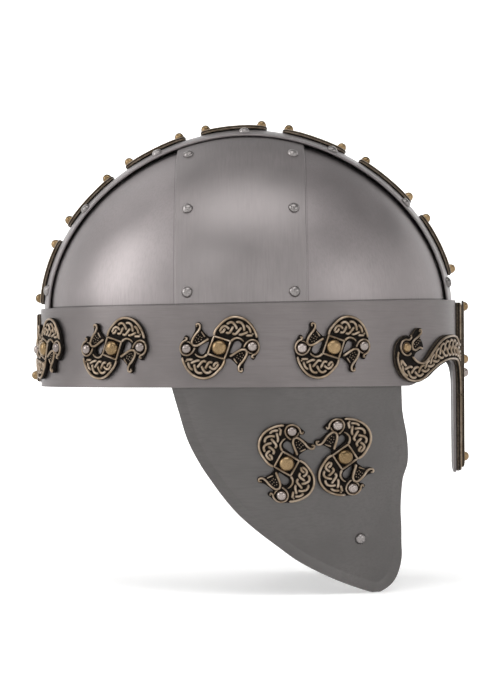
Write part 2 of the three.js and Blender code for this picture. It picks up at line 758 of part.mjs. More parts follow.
// Beasts on the brow band, numbered from the back, evenly spaced from the back plaque to the eyebrow
const dragon = dragonCasting();
const eyebrowReach = Math.max(...eyebrowOutline.map(([arc]) => arc)) * eyeArchReach;
const lastDragonArc = eyebrowReach + eyebrowClearance + dragonHalfLength;
const firstDragonArc = browArc.half - backPlaqueWidth / 2 - backPlaqueClearance - dragonHalfLength;
for (let i = 0; i < browDragonCount; i++) {
  const arc = THREE.MathUtils.lerp(-firstDragonArc, -lastDragonArc, i / (browDragonCount - 1));
  const faces = bent(dragon, (u, v, out) => ontoBrow(arc + u, browDragonHeight + v, out + castingGap));
  addPair((side) => `dragon_brow_${side}_${i + 1}`, faces, bronze);
}

// The facing pair on each cheek guard: places as shares of its front reach and its drop
const cheekPair = [
  { name: "rear", ahead: 0.2341, down: 0.3628, facing: 1, turn: cheekDragonTurn },
  { name: "front", ahead: 0.6011, down: 0.3353, facing: -1, turn: cheekDragonTurn - cheekDragonMismatch },
];
for (const { name, ahead, down, facing, turn } of cheekPair) {
  const [x, z] = [ahead * cheekFrontReach, -down * cheekDrop];
  const upright = turnedFlat(dragon, turn, facing);
  const faces = bent(upright, (u, v, out) => {
    const outward = outwardOf(ontoCheek, x + u, z + v);
    return ontoCheek(x + u, z + v, 0).addScaledVector(outward, out + castingGap);
  });
  addPair((side) => `dragon_cheek_${side}_${name}`, faces, bronze);
}

// A flat casting turned in its plane by degrees, and mirrored where it faces back.
function turnedFlat(casting, degrees, facing) {
  const turn = THREE.MathUtils.degToRad(degrees);
  const { points, triangles } = facesOf(casting);
  const moved = points.map(({ x, y, z }) => {
    const [u, v] = [Math.cos(turn) * x - Math.sin(turn) * y, Math.sin(turn) * x + Math.cos(turn) * y];
    return new THREE.Vector3(facing * u, v, z);
  });
  const faces = triangles.map(([a, b, c]) => (facing > 0 ? [a, b, c] : [a, c, b]));
  return solidOf(geometryOf({ points: moved, triangles: faces }));
}

// Plaques along the crest, numbered from the back, and one at the middle of the back
const plaque = plaqueCasting(plaqueLength, plaqueWidth, [-plaqueDomeSpacing / 2, plaqueDomeSpacing / 2]);
for (let i = 0; i < plaqueCount; i++) {
  const middle = alongCrest(crestPath, plaqueEnds, plaqueLength / 2, plaqueCount, i);
  const faces = bent(plaque, (u, v, out) => {
    const spot = crestPath.at(middle + u);
    const { point, normal } = ontoDome(crestLayer, spot.x, 0, spot.z);
    return point.addScaledVector(normal, out + castingGap).setY(v);
  });
  addPiece(`crest_plaque_${i + 1}`, faces, bronze);
}
const backPlaque = plaqueCasting(backPlaqueLength, backPlaqueWidth, [-plaqueDomeSpacing / 2]);
const uprightPlaque = turnedFlat(backPlaque, 90, 1);
addPiece("back_plaque", bent(uprightPlaque, (u, v, out) => {
  return ontoBrow(browArc.half + u, browHeightRear / 2 + v, out + castingGap);
}), bronze);

const nasal = nasalCasting();
addPiece("nasal_mount", bent(nasal, (u, v, out) => ontoBrow(u, v, out + castingGap)), bronze);

export default helmet;
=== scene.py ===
import math

import bmesh
import bpy
import numpy as np
from mathutils import Matrix, Vector, geometry


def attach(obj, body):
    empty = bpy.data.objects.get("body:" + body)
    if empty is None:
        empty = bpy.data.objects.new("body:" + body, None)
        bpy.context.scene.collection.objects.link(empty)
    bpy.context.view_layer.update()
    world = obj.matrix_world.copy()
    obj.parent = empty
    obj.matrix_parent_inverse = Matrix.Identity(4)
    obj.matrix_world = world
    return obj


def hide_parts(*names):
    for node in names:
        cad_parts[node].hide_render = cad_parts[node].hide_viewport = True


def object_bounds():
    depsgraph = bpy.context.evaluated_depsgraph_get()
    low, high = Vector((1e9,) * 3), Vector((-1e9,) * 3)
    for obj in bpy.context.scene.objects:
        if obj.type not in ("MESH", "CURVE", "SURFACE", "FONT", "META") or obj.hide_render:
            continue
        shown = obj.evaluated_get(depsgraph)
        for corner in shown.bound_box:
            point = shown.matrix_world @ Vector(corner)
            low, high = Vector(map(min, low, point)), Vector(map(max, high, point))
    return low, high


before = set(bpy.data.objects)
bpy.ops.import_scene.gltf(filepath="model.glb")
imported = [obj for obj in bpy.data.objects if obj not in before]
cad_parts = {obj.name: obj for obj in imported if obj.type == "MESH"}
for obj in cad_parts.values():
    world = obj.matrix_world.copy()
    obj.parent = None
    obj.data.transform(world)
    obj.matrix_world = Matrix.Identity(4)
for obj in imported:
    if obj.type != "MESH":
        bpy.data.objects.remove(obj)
cadLow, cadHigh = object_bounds()
mm = 0.001  # every shape below is worked out in millimetres

# the surfaces that everything sits on

brow = {"halfLength": 122.5, "halfWidth": 101.0, "rear": 45.5, "front": 49.5, "sheet": 1.5}
dome = {"base": 46.0, "skirt": 22.0}
fullness = 1.87  # the power in the dome's curve; 2 would make it an ellipsoid
panelLayer = (118.1, 97.4, 101.4)  # half length, half width, rise above the base
crossLayer = (119.9, 99.2, 103.2)
crestLayer = (120.3, 101.0, 105.0)
bands = {"crossRear": -41.0, "crossFront": 33.0, "crestHalf": 25.0}
cheek = {"top": 14.0, "drop": 116.6, "back": 43.0, "front": 88.0, "lean": 13.0, "rim": 5.5, "flare": 1.8,
         "halfLength": 120.4, "halfWidth": 98.9}  # the last two are of the oval that its top edge follows



def runAlong(points):
    # how far along the line each of its points is
    return np.concatenate([[0], np.cumsum(np.linalg.norm(np.diff(points, axis=0), axis=1))])


def leftOf(along):
    # unit steps to the left of a flat line that heads along
    along = along / np.maximum(np.linalg.norm(along, axis=1, keepdims=True), 1e-9)
    return np.column_stack([-along[:, 1], along[:, 0]])


browTurns = np.linspace(0, 2 * np.pi, 7201)
browLengths = runAlong(np.column_stack([brow["halfLength"] * np.cos(browTurns),
                                        brow["halfWidth"] * np.sin(browTurns)]))
browHalf = browLengths[-1] / 2


def browAngle(arc):
    return np.interp(np.mod(arc, browLengths[-1]), browLengths, browTurns)


def ontoBrow(arc, height, out):
    # arc runs round the band from the middle of the front, to the wearer's left
    angle = browAngle(arc)
    x, y = brow["halfLength"] * np.cos(angle), brow["halfWidth"] * np.sin(angle)
    nx, ny = x / brow["halfLength"] ** 2, y / brow["halfWidth"] ** 2
    size = np.hypot(nx, ny)
    return np.stack([x + out * nx / size, y + out * ny / size, height + 0 * x], -1)


def crestSpot(length):
    # a place on the crest's middle line, from the top, positive to the front
    half, _, rise = crestLayer
    turn = np.linspace(-np.pi / 2, np.pi / 2, 1601)
    power = 2 / fullness
    x = half * np.sign(turn) * np.abs(np.sin(turn)) ** power
    z = dome["base"] + rise * np.abs(np.cos(turn)) ** power
    x, z = np.concatenate([[-half], x, [half]]), np.concatenate([[0], z, [0]])
    run = runAlong(np.column_stack([x, z]))
    run -= run[len(run) // 2]
    spotX, spotZ = np.interp(length, run, x), np.interp(length, run, z)
    plan, up = np.abs(spotX) / half, np.clip((spotZ - dome["base"]) / rise, 0, 1)
    nx = np.sign(spotX) * plan ** (fullness - 1) / half
    nz = up ** (fullness - 1) / rise
    size = np.hypot(nx, nz)
    return spotX, spotZ, nx / size, nz / size


def ontoCheek(x, z, out=0.0):
    # the right cheek guard's face; the left one is its mirror image
    lean = cheek["lean"] * (np.maximum(-z, 0) / cheek["drop"]) ** 1.25
    oval = cheek["halfWidth"] * np.sqrt(1 - np.minimum((x / cheek["halfLength"]) ** 2, 0.75))
    y = lean - oval - out
    return np.stack([x + 0 * y, y, z + 0 * y], -1)


def cheekNormal(x, z):
    alongX = ontoCheek(x + 0.5, z) - ontoCheek(x - 0.5, z)
    alongZ = ontoCheek(x, z + 0.5) - ontoCheek(x, z - 0.5)
    normal = np.cross(alongX, alongZ)
    return normal / np.linalg.norm(normal, axis=-1, keepdims=True)


def smoothLine(points, step=0.6, closed=False):
    # a soft curve through the points, cut every step or so
    points = np.asarray(points, float)
    count = len(points)
    made = []
    for i in range(count if closed else count - 1):
        p1, p2 = points[i], points[(i + 1) % count]
        p0 = points[i - 1] if closed or i > 0 else 2 * p1 - p2
        p3 = points[(i + 2) % count] if closed or i + 2 < count else 2 * p2 - p1
        d0, d1, d2 = (max(np.linalg.norm((b - a)[:2]), 1e-6) ** 0.5
                      for a, b in ((p0, p1), (p1, p2), (p2, p3)))
        m1 = ((p1 - p0) / d0 - (p2 - p0) / (d0 + d1) + (p2 - p1) / d1) * d1
        m2 = ((p2 - p1) / d1 - (p3 - p1) / (d1 + d2) + (p3 - p2) / d2) * d1
        cuts = max(2, math.ceil(np.linalg.norm((p2 - p1)[:2]) / step))
        t = np.linspace(0, 1, cuts, endpoint=False)[:, None]
        made.append((2 * t**3 - 3 * t**2 + 1) * p1 + (t**3 - 2 * t**2 + t) * m1
                    + (3 * t**2 - 2 * t**3) * p2 + (t**3 - t**2) * m2)
    if not closed:
        made.append(points[-1:])
    return np.concatenate(made)


# shader node groups


def newGroup(name, inputs, outputs):
    # an input's socket goes by its first value: a number, a vector or a colour
    group = bpy.data.node_groups.new(name, "ShaderNodeTree")
    kinds = {1: "NodeSocketFloat", 3: "NodeSocketVector", 4: "NodeSocketColor"}
    for label, value in inputs.items():
        socket = group.interface.new_socket(label, in_out="INPUT", socket_type=kinds[np.size(value)])
        socket.default_value = value
    for label, kind in outputs.items():
        group.interface.new_socket(label, in_out="OUTPUT", socket_type="NodeSocket" + kind)
    return group, group.nodes.new("NodeGroupInput").outputs, group.nodes.new("NodeGroupOutput").inputs


def node(tree, kind, inputs, output=0, **settings):
    # one node; each input is given a value, or the output that it follows
    made = tree.nodes.new("ShaderNode" + kind)
    for key, value in settings.items():
        setattr(made, key, value)
    for key, value in inputs.items():
        if hasattr(value, "is_linked"):
            tree.links.new(value, made.inputs[key])
        else:
            made.inputs[key].default_value = value
    return made.outputs[output]


def calculate(tree, operation, *inputs):
    return node(tree, "Math", dict(enumerate(inputs)), operation=operation)


def noise(tree, place, scale, detail, rough=0.5):
    return node(tree, "TexNoise", {"Vector": place, "Scale": scale, "Detail": detail, "Roughness": rough})


def mapped(tree, value, low, high, toLow=0.0, toHigh=1.0):
    return node(tree, "MapRange", {"Value": value, "From Min": low, "From Max": high, "To Min": toLow,
                                   "To Max": toHigh})


def blendColours(tree, factor, first, second):
    return node(tree, "Mix", {0: factor, 6: first, 7: second}, 2, data_type="RGBA")


def bump(tree, height, strength, distance, **others):
    return node(tree, "Bump", {"Height": height, "Strength": strength, "Distance": distance, **others})


def finishGroup(group, result, made):
    for label, output in made.items():
        group.links.new(output, result[label])
    return group


seamShadeWidth = 0.6


def makeSeamShadeGroup():
    # painted shade in the corners where a band lies over the sheets under it, a dark line standing in for the
    # shadow there
    group, _, result = newGroup("seamPaintedShade", {}, {"Mask": "Float"})
    place = node(group, "TexCoord", {}, "Object")
    x, y, z = (node(group, "SeparateXYZ", {0: place}, axis) for axis in "XYZ")
    width = seamShadeWidth * mm
    # the brow band's upper edge rises towards the front
    forward = calculate(group, "MULTIPLY_ADD", x, 0.5 / (brow["halfLength"] * mm), 0.5)
    rise = calculate(group, "MULTIPLY", calculate(group, "POWER", forward, 2.0),
                     (brow["front"] - brow["rear"]) * mm)
    # a larger faintness makes a cleaner seam
    corners = [(x, bands["crossRear"] * mm - width, 1.0), (x, bands["crossFront"] * mm + width, 1.0),
               (calculate(group, "ABSOLUTE", y), bands["crestHalf"] * mm + width, 0.0),
               (calculate(group, "SUBTRACT", z, rise), brow["rear"] * mm + width, 0.5)]
    nearest = 1.0
    for spot, corner, faintness in corners:
        gap = calculate(group, "ABSOLUTE", calculate(group, "SUBTRACT", spot, corner))
        nearest = calculate(group, "MINIMUM", calculate(group, "ADD", gap, faintness * width), nearest)
    # painted shade: 1 right beside each band edge, fading to 0 a little way out
    mask = mapped(group, nearest, 0.3 * width, 1.5 * width, 1.0, 0.0)
    # only where the sheet faces away from the helmet's middle
    facing = node(group, "VectorMath", {0: node(group, "TexCoord", {}, "Normal"), 1: place}, "Value",
                  operation="DOT_PRODUCT")
    outside = calculate(group, "GREATER_THAN", facing, 0.0)
    return finishGroup(group, result, {"Mask": calculate(group, "MULTIPLY", mask, outside)})


def makeSatinGroup():
    # brushed and slightly clouded sheet metal
    group, given, result = newGroup("satinSheet", {
        "Light Tint": (0.5, 0.5, 0.5, 1), "Dark Tint": (0.4, 0.4, 0.4, 1), "Brush Scale": 900.0,
        "Brush Stretch": (1, 1, 1), "Rough Low": 0.3, "Rough High": 0.4, "Brush Depth": 0.05,
        "Wave Depth": 0.1, "Painted Seam Shade": 0.0,
    }, {"Color": "Color", "Roughness": "Float", "Normal": "Vector"})
    place = node(group, "TexCoord", {}, "Object")
    stretched = node(group, "Mapping", {"Vector": place, "Scale": given["Brush Stretch"]})
    brush = noise(group, stretched, given["Brush Scale"], 3.0, 0.6)
    cloud = mapped(group, noise(group, place, 26.0, 4.0), 0.35, 0.65)
    stain = mapped(group, noise(group, place, 140.0, 6.0, 0.7), 0.56, 0.74, 0.0, 0.22)
    streak = mapped(group, brush, 0.42, 0.72, 0.0, 0.55)
    tint = blendColours(group, cloud, given["Dark Tint"], given["Light Tint"])
    for mask in (stain, streak):
        tint = blendColours(group, mask, tint, given["Dark Tint"])
    # painted shade: the seam mask darkens the tint to near black along the band edges
    paintedShade = node(group, "Group", {}, "Mask", node_tree=seamShadeGroup)
    tint = blendColours(group, calculate(group, "MULTIPLY", paintedShade, given["Painted Seam Shade"]), tint,
                        (0.02, 0.018, 0.017, 1))
    rough = mapped(group, calculate(group, "ADD", brush, cloud), 0.4, 1.6, given["Rough Low"],
                   given["Rough High"])
    wavy = bump(group, noise(group, place, 34.0, 1.0), given["Wave Depth"], 0.001)
    brushed = bump(group, brush, given["Brush Depth"], 0.0001, Normal=wavy)
    return finishGroup(group, result, {"Color": tint, "Roughness": rough, "Normal": brushed})


def makePatinaGroup():
    # cast metal, black in its hollows and rubbed bright where the mesh's wear value is high
    group, given, result = newGroup("castPatina", {
        "Bright Tint": (0.5, 0.36, 0.2, 1), "Warm Tint": (0.3, 0.2, 0.1, 1),
        "Dark Tint": (0.02, 0.015, 0.01, 1), "Wear Start": 0.35, "Wear End": 0.85, "Grain Scale": 900.0,
        "Grain Depth": 0.3,
    }, {"Color": "Color", "Roughness": "Float", "Metallic": "Float", "Normal": "Vector"})
    place = node(group, "TexCoord", {}, "Object")
    wear = node(group, "Attribute", {}, "Fac", attribute_name="wear")
    grain = noise(group, place, given["Grain Scale"], 5.0, 0.65)
    rubbed = calculate(group, "ADD", wear, calculate(group, "MULTIPLY_ADD", grain, 0.36, -0.18))
    bare = mapped(group, rubbed, given["Wear Start"], given["Wear End"])
    patch = mapped(group, noise(group, place, 230.0, 3.0), 0.38, 0.64)
    bright = blendColours(group, patch, given["Warm Tint"], given["Bright Tint"])
    return finishGroup(group, result, {
        "Color": blendColours(group, bare, given["Dark Tint"], bright),
        "Roughness": mapped(group, bare, 0.0, 1.0, 0.8, 0.3),
        "Metallic": bare,
        "Normal": bump(group, grain, given["Grain Depth"], 0.00015),
    })


seamShadeGroup = makeSeamShadeGroup()
satinGroup = makeSatinGroup()
patinaGroup = makePatinaGroup()


def newMaterial(name, group, values):
    material = bpy.data.materials.new(name)
    material.use_nodes = True
    tree = material.node_tree
    shader = tree.nodes["Principled BSDF"]
    shader.inputs["Metallic"].default_value = 1.0
    effect = tree.nodes.new("ShaderNodeGroup")
    effect.node_tree = group
    for key, value in values.items():
        effect.inputs[key].default_value = value
    for socket in effect.outputs:
        tree.links.new(socket, shader.inputs["Base Color" if socket.name == "Color" else socket.name])
    return material


def satinMetal(name, light, dark, rough, brush):
    return newMaterial(name, satinGroup, {"Light Tint": (*light, 1), "Dark Tint": (*dark, 1),
                                          "Rough Low": rough[0], "Rough High": rough[1], **brush})


def sheetSteel(name, light, dark, rough, stretch, paintedShade=0.0):
    return satinMetal(name, light, dark, rough, {
        "Brush Scale": 1100.0, "Brush Stretch": stretch, "Brush Depth": 0.34, "Wave Depth": 0.055,
        "Painted Seam Shade": paintedShade})


bandTints = (0.262, 0.24, 0.239), (0.213, 0.196, 0.195)
panelTints = (0.284, 0.2585, 0.259), (0.233, 0.2125, 0.213)
# painted shade: the cheek guards get much darker tints than the dome's steel, standing in for the dimmer light
# on faces that look straight at the camera
cheekShadedTints = (0.126, 0.119, 0.1165), (0.102, 0.0965, 0.0945)
# the 0.8 is the strength of the painted seam shade on the panels and the cross band
panelSteel = sheetSteel("panelSteel", *panelTints, (0.36, 0.47), (1, 1, 0.06), 0.8)
bandSteel = sheetSteel("bandSteel", *bandTints, (0.38, 0.49), (1, 0.06, 0.06), 0.8)
crestSteel = sheetSteel("crestSteel", *bandTints, (0.38, 0.49), (0.06, 1, 0.06))
# painted shade: the brow band's darker tints stand in for the dimmer light on its upright face
browSteel = sheetSteel("browSteel", (0.192, 0.174, 0.172), (0.155, 0.141, 0.139), (0.38, 0.5), (0.06, 0.06, 1))
cheekSteel = sheetSteel("cheekSteel", *cheekShadedTints, (0.4, 0.52), (0.06, 1, 1))
rivetSteel = satinMetal("rivetSteel", (0.33, 0.308, 0.302), (0.14, 0.13, 0.127), (0.2, 0.34), {
    "Brush Scale": 1500.0, "Brush Depth": 0.2, "Wave Depth": 0.1})
domeSteel = satinMetal("domeSteel", (0.40, 0.35, 0.325), (0.2, 0.172, 0.16), (0.18, 0.32), {
    "Brush Scale": 1800.0, "Brush Depth": 0.15, "Wave Depth": 0.25})
domeBrass = satinMetal("domeBrass", (0.35, 0.245, 0.135), (0.12, 0.08, 0.04), (0.2, 0.36), {
    "Brush Scale": 1600.0, "Brush Depth": 0.25, "Wave Depth": 0.4})
castBronze = newMaterial("castBronze", patinaGroup, {
    "Bright Tint": (0.37, 0.295, 0.225, 1), "Warm Tint": (0.25, 0.185, 0.125, 1),
    "Dark Tint": (0.005, 0.0035, 0.0025, 1), "Wear Start": 0.42, "Wear End": 0.95})
castBronze.node_tree.nodes["Principled BSDF"].inputs["Specular IOR Level"].default_value = 0.12
castFinishes = [castBronze, domeBrass, domeSteel]
print("materials made")

# sheet metal


def gridFaces(rows, columns, ring=False):
    faces = []
    for row in range(rows - 1):
        for column in range(columns if ring else columns - 1):
            after = (column + 1) % columns
            low, high = row * columns, (row + 1) * columns
            faces.append((low + column, low + after, high + after, high + column))
    return faces


def newObject(name, data):
    made = bpy.data.objects.new(name, data)
    bpy.context.scene.collection.objects.link(made)
    return made


def addPiece(name, mesh, nodeName):
    piece = newObject(name, mesh)
    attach(piece, "root")
    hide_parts(nodeName)
    return piece


sheetEdge = 0.55  # how far a sheet's cut edges are rounded over


def sheetPiece(name, nodeName, grid, material, ring=False):
    # a sheet of the helmet's thickness, inward from the grid of points, with its edges eased
    rows, columns = grid.shape[:2]
    mesh = bpy.data.meshes.new(name)
    mesh.from_pydata((grid.reshape(-1, 3) * mm).tolist(), [], gridFaces(rows, columns, ring))
    work = bmesh.new()
    work.from_mesh(mesh)
    bmesh.ops.remove_doubles(work, verts=work.verts, dist=1e-6)
    middle = Vector((0, 0, 30 * mm))
    facing = sum(face.normal.dot(face.calc_center_median() - middle) * face.calc_area() for face in work.faces)
    if facing < 0:
        bmesh.ops.reverse_faces(work, faces=work.faces)
    work.to_mesh(mesh)
    work.free()
    mesh.shade_smooth()
    mesh.materials.append(material)
    piece = addPiece(name, mesh, nodeName)
    thick = piece.modifiers.new("sheet", "SOLIDIFY")
    thick.thickness, thick.offset, thick.use_even_offset = brow["sheet"] * mm, -1, True
    eased = piece.modifiers.new("edges", "BEVEL")
    eased.width, eased.segments, eased.limit_method = sheetEdge * mm, 2, "ANGLE"
    eased.angle_limit, eased.harden_normals = math.radians(50), True
    return piece


def mirrored(grid):
    return grid * np.array([1, -1, 1])


nasal = {"halfWidth": 11.5, "tipHalfWidth": 9.5, "drop": 52.0, "archReach": 77.0, "archRise": 14.0}
nasalTip = np.array([(0, 1), (0.3, 0.998), (0.55, 0.985), (0.85, 0.95), (0.95, 0.92), (1, 0.88)])
eyeArch = np.array([(0, 0.2), (0.05, 0.6), (0.13, 0.87), (0.25, 1), (0.42, 1), (0.58, 0.86), (0.75, 0.5),
                    (0.88, 0.17), (0.96, 0.03), (1, 0)])


def browLow(arc):
    # height of the band's lower edge: nasal, eye arch, then straight
    arch = smoothLine(eyeArch * (nasal["archReach"] - nasal["halfWidth"], nasal["archRise"]), 1.0)
    reach = np.concatenate([nasalTip[:, 0] * nasal["tipHalfWidth"], arch[:, 0] + nasal["halfWidth"]])
    low = np.concatenate([-nasalTip[:, 1] * nasal["drop"], arch[:, 1]])
    return np.interp(np.abs(arc), reach, low, right=0.0)


def browTop(arc):
    return brow["rear"] + (brow["front"] - brow["rear"]) * ((1 + np.cos(browAngle(arc))) / 2) ** 2


def makeBrowBand():
    # columns closer together at the nasal's sides and in the eye arches
    tip, root, archEnd = nasal["tipHalfWidth"], nasal["halfWidth"], nasal["archReach"] + 3
    half = np.concatenate([np.linspace(0, tip, 12), np.linspace(tip + 0.25, root, 8),
                           np.linspace(root + 0.4, archEnd, 76), np.linspace(archEnd + 2, browHalf, 110)])
    arcs = np.concatenate([half, -half[1:-1][::-1]])
    share = np.linspace(0, 1, 27)[:, None]
    low, top = browLow(arcs), browTop(arcs)
    heights = low + share * (top - low)
    grid = ontoBrow(np.broadcast_to(arcs, heights.shape), heights, 0.0)
    return sheetPiece("browBand", "brow_band", grid, browSteel, ring=True)


def domeHeight(layer, x, y):
    plan = np.clip(np.hypot(x / layer[0], y / layer[1]), 0, 1)
    return dome["base"] + layer[2] * (1 - plan**fullness) ** (1 / fullness)


def makePanel(end, side):
    # from the corner under the bands out to the skirt; the panels stop a gap short of each other
    gap = 0.4
    originX = (bands["crossRear"] + bands["crossFront"]) / 2 + end * gap
    turns = np.linspace(0, np.pi / 2, 61)
    dx, dy = end * np.cos(turns), -np.sin(turns)
    a, b = panelLayer[0], panelLayer[1]
    # distance from the corner to the rim along each direction
    qa = (dx / a) ** 2 + (dy / b) ** 2
    qb = 2 * (originX * dx / a**2 - gap * dy / b**2)
    qc = (originX / a) ** 2 + (gap / b) ** 2 - 1
    reach = (-qb + np.sqrt(qb**2 - 4 * qa * qc)) / (2 * qa)
    share = np.sin(np.linspace(0, np.pi / 2, 53))[:, None]
    x, y = originX + share * reach * dx, -gap + share * reach * dy
    z = domeHeight(panelLayer, x, y)
    skirt = np.linspace(dome["base"], dome["skirt"], 7)[1:]
    rows = [np.stack([x[-1], y[-1], np.full_like(x[-1], level)], -1) for level in skirt]
    grid = np.concatenate([np.stack([x, y, z], -1), np.stack(rows)])
    if side == "left":
        grid = mirrored(grid)
    endName = "front" if end > 0 else "rear"
    return sheetPiece(f"panel{endName.title()}{side.title()}", f"panel_{endName}_{side}", grid, panelSteel)


def bandGrid(layer, across, alongX):
    # a band over the dome: across are its offsets, and it runs along X or along Y
    turn = np.linspace(-np.pi / 2, np.pi / 2, 141)
    if alongX:
        y = np.broadcast_to(across, (len(turn), len(across)))
        x = layer[0] * np.sqrt(1 - (y / layer[1]) ** 2) * np.sin(turn)[:, None]
    else:
        x = np.broadcast_to(across, (len(turn), len(across)))
        y = layer[1] * np.sqrt(1 - (x / layer[0]) ** 2) * np.sin(turn)[:, None]
    grid = np.stack([x, y, domeHeight(layer, x, y)], -1)
    levels = np.linspace(dome["skirt"], dome["base"], 7)[:-1, None]
    first, last = (np.repeat(row[None], len(levels), axis=0) for row in (grid[0], grid[-1]))
    first[..., 2], last[..., 2] = levels, levels[::-1]
    return np.concatenate([first, grid, last])


cheekEdge = np.array([
    (0, -1, 0.985), (0.12, -0.905, 0.99), (0.256, -0.79, 1.022), (0.373, -0.623, 1.025),
    (0.45, -0.481, 0.993), (0.528, -0.326, 0.982), (0.606, -0.142, 0.978), (0.683, 0.091, 0.983),
    (0.761, 0.365, 0.984), (0.838, 0.651, 0.986), (0.916, 1.05, 0.96), (0.955, 1.29, 0.93),
    (0.982, 1.48, 0.89), (1, 1.62, 0.845),
])  # share of the drop, then the back and front edges as shares of their reach


def makeCheekGuard(side):
    edges = [smoothLine(cheekEdge[:, [0, column]] * (cheek["drop"], cheek[key]), 1.2)
             for column, key in ((1, "back"), (2, "front"))]
    hidden = np.linspace(-cheek["top"], -1.0, 6)
    rows = np.concatenate([hidden, edges[0][:, 0]])
    back, front = (np.interp(rows, line[:, 0], line[:, 1]) for line in edges)
    # columns a little closer together in the rims
    even = np.linspace(0, 1, 96)
    share = even - 0.55 * np.sin(2 * np.pi * even) / (2 * np.pi)
    x = back[:, None] + share * (front - back)[:, None]
    z = -np.broadcast_to(rows[:, None], x.shape)
    # the rim is dished out with a soft crease a little way in from the edge
    behind, ahead = (np.column_stack([line, -rows])[len(hidden):] for line in (back, front))
    edge = np.concatenate([behind, ahead[::-1]])
    spots = np.stack([x, z], -1).reshape(-1, 1, 2)
    a, b = edge[:-1], edge[1:]
    span = b - a
    reach = np.clip(((spots - a) * span).sum(-1) / (span**2).sum(-1), 0, 1)
    away = np.linalg.norm(spots - a - reach[..., None] * span, axis=-1).min(1).reshape(x.shape)
    rise = np.clip(1 - away / cheek["rim"], 0, 1)
    fade = np.clip((-z - 1.5) / 6, 0, 1)
    out = cheek["flare"] * rise**0.85 * fade
    grid = ontoCheek(x, z, out)
    if side == "left":
        grid = mirrored(grid)
    return sheetPiece(f"cheekGuard{side.title()}", f"cheek_guard_{side}", grid, cheekSteel)


makeBrowBand()
for side in ("right", "left"):
    makePanel(1, side)
    makePanel(-1, side)
    makeCheekGuard(side)
crossSpan = np.linspace(bands["crossRear"], bands["crossFront"], 31)
crestSpan = np.linspace(-bands["crestHalf"], bands["crestHalf"], 23)
sheetPiece("crossBand", "cross_band", bandGrid(crossLayer, crossSpan, False), bandSteel)
sheetPiece("crestBand", "crest_band", bandGrid(crestLayer, crestSpan, True), crestSteel)
print("sheet metal made")

# rivets

rivet = {"radius": 3.25, "rise": 2.2, "gap": 0.1, "sunk": 0.02, "cross": {"rear": -34.0, "front": 26.0},
         "crossHeights": (0.07, 0.53, 0.85), "crestAside": 19.5, "crestShift": -1.8, "crestPitch": 54.2,
         "chin": (62.6, -86.0), "chinGap": 0.3}


def circle(u, v, radius, sides):
    turn = 2 * np.pi * np.arange(sides) / sides
    return np.column_stack([u + radius * np.cos(turn), v + radius * np.sin(turn)])


def rivetHead(name, nodeName, point, normal, gap, irregular):
    # a hammered round head, a little uneven
    rings, sides = 9, 28
    points = []
    for ring in range(rings):
        turn = (math.pi / 2) * ring / (rings - 1)
        around = 2 * np.pi * np.arange(sides) / sides
        wobble = 1 - 0.022 * (1 + np.sin(3 * around + irregular)) * math.cos(turn)
        flat = circle(0, 0, 1, sides) * (rivet["radius"] * wobble * math.cos(turn) ** 0.9)[:, None]
        points += [(u, v, (rivet["rise"] + gap) * math.sin(turn) ** 1.1) for u, v in flat]
    mesh = bpy.data.meshes.new(name)
    turnTo = Vector(normal).to_track_quat("Z", "Y").to_matrix().to_4x4()
    place = Vector(point) + Vector(normal) * rivet["sunk"]
    move = Matrix.Translation(place * mm) @ turnTo @ Matrix.Scale(mm, 4)
    mesh.from_pydata([move @ Vector(p) for p in points], [],
                     gridFaces(rings, sides, ring=True) + [tuple(reversed(range(sides)))])
    work = bmesh.new()
    work.from_mesh(mesh)
    bmesh.ops.remove_doubles(work, verts=work.verts, dist=1e-7)
    bmesh.ops.recalc_face_normals(work, faces=work.faces)
    work.to_mesh(mesh)
    work.free()
    mesh.shade_smooth()
    mesh.set_sharp_from_angle(angle=math.radians(60))
    mesh.materials.append(rivetSteel)
    return addPiece(name, mesh, nodeName)


def layerNormal(layer, x, y, z):
    plan = math.hypot(x / layer[0], y / layer[1])
    up = max((z - dome["base"]) / layer[2], 0)
    share = plan ** (fullness - 2)
    normal = Vector((share * x / layer[0] ** 2, share * y / layer[1] ** 2, up ** (fullness - 1) / layer[2]))
    return normal.normalized()


def crossSeats():
    for x in rivet["cross"].values():
        for share in rivet["crossHeights"]:
            plan = (1 - share**fullness) ** (1 / fullness)
            y = -crossLayer[1] * math.sqrt(plan**2 - (x / crossLayer[0]) ** 2)
            yield x, y, dome["base"] + share * crossLayer[2]


def crestSeats():
    # beside the crest's middle line, slid straight in towards the dome's centre
    for i in range(7):
        x, z = (float(v) for v in crestSpot(rivet["crestShift"] + (i - 3) * rivet["crestPitch"])[:2])
        y = -rivet["crestAside"]
        size = math.hypot(x / crestLayer[0], y / crestLayer[1])
        up = z - dome["base"]
        if up > 0:
            size = (size**fullness + (up / crestLayer[2]) ** fullness) ** (1 / fullness)
            z = dome["base"] + up / size
        yield x / size, y / size, z


def makeRivets():
    sides = (("right", 1), ("left", -1))
    for kind, layer, seats in (("cross", crossLayer, crossSeats()), ("crest", crestLayer, crestSeats())):
        for number, (x, y, z) in enumerate(seats, 1):
            normal = layerNormal(layer, x, y, z)
            for side, flip in sides:
                rivetHead(f"rivet{kind.title()}{side.title()}{number}", f"rivet_{kind}_{side}_{number}",
                          (x, y * flip, z), (normal.x, normal.y * flip, normal.z), rivet["gap"],
                          number * 1.7 + flip)
    for side, flip in sides:
        rivetHead(f"rivetChin{side.title()}", f"rivet_chin_{side}", ontoCheek(*rivet["chin"]) * (1, flip, 1),
                  cheekNormal(*rivet["chin"]) * (1, flip, 1), rivet["chinGap"], flip)


makeRivets()
print("rivets made")

# castings, worked flat and then bent onto the helmet

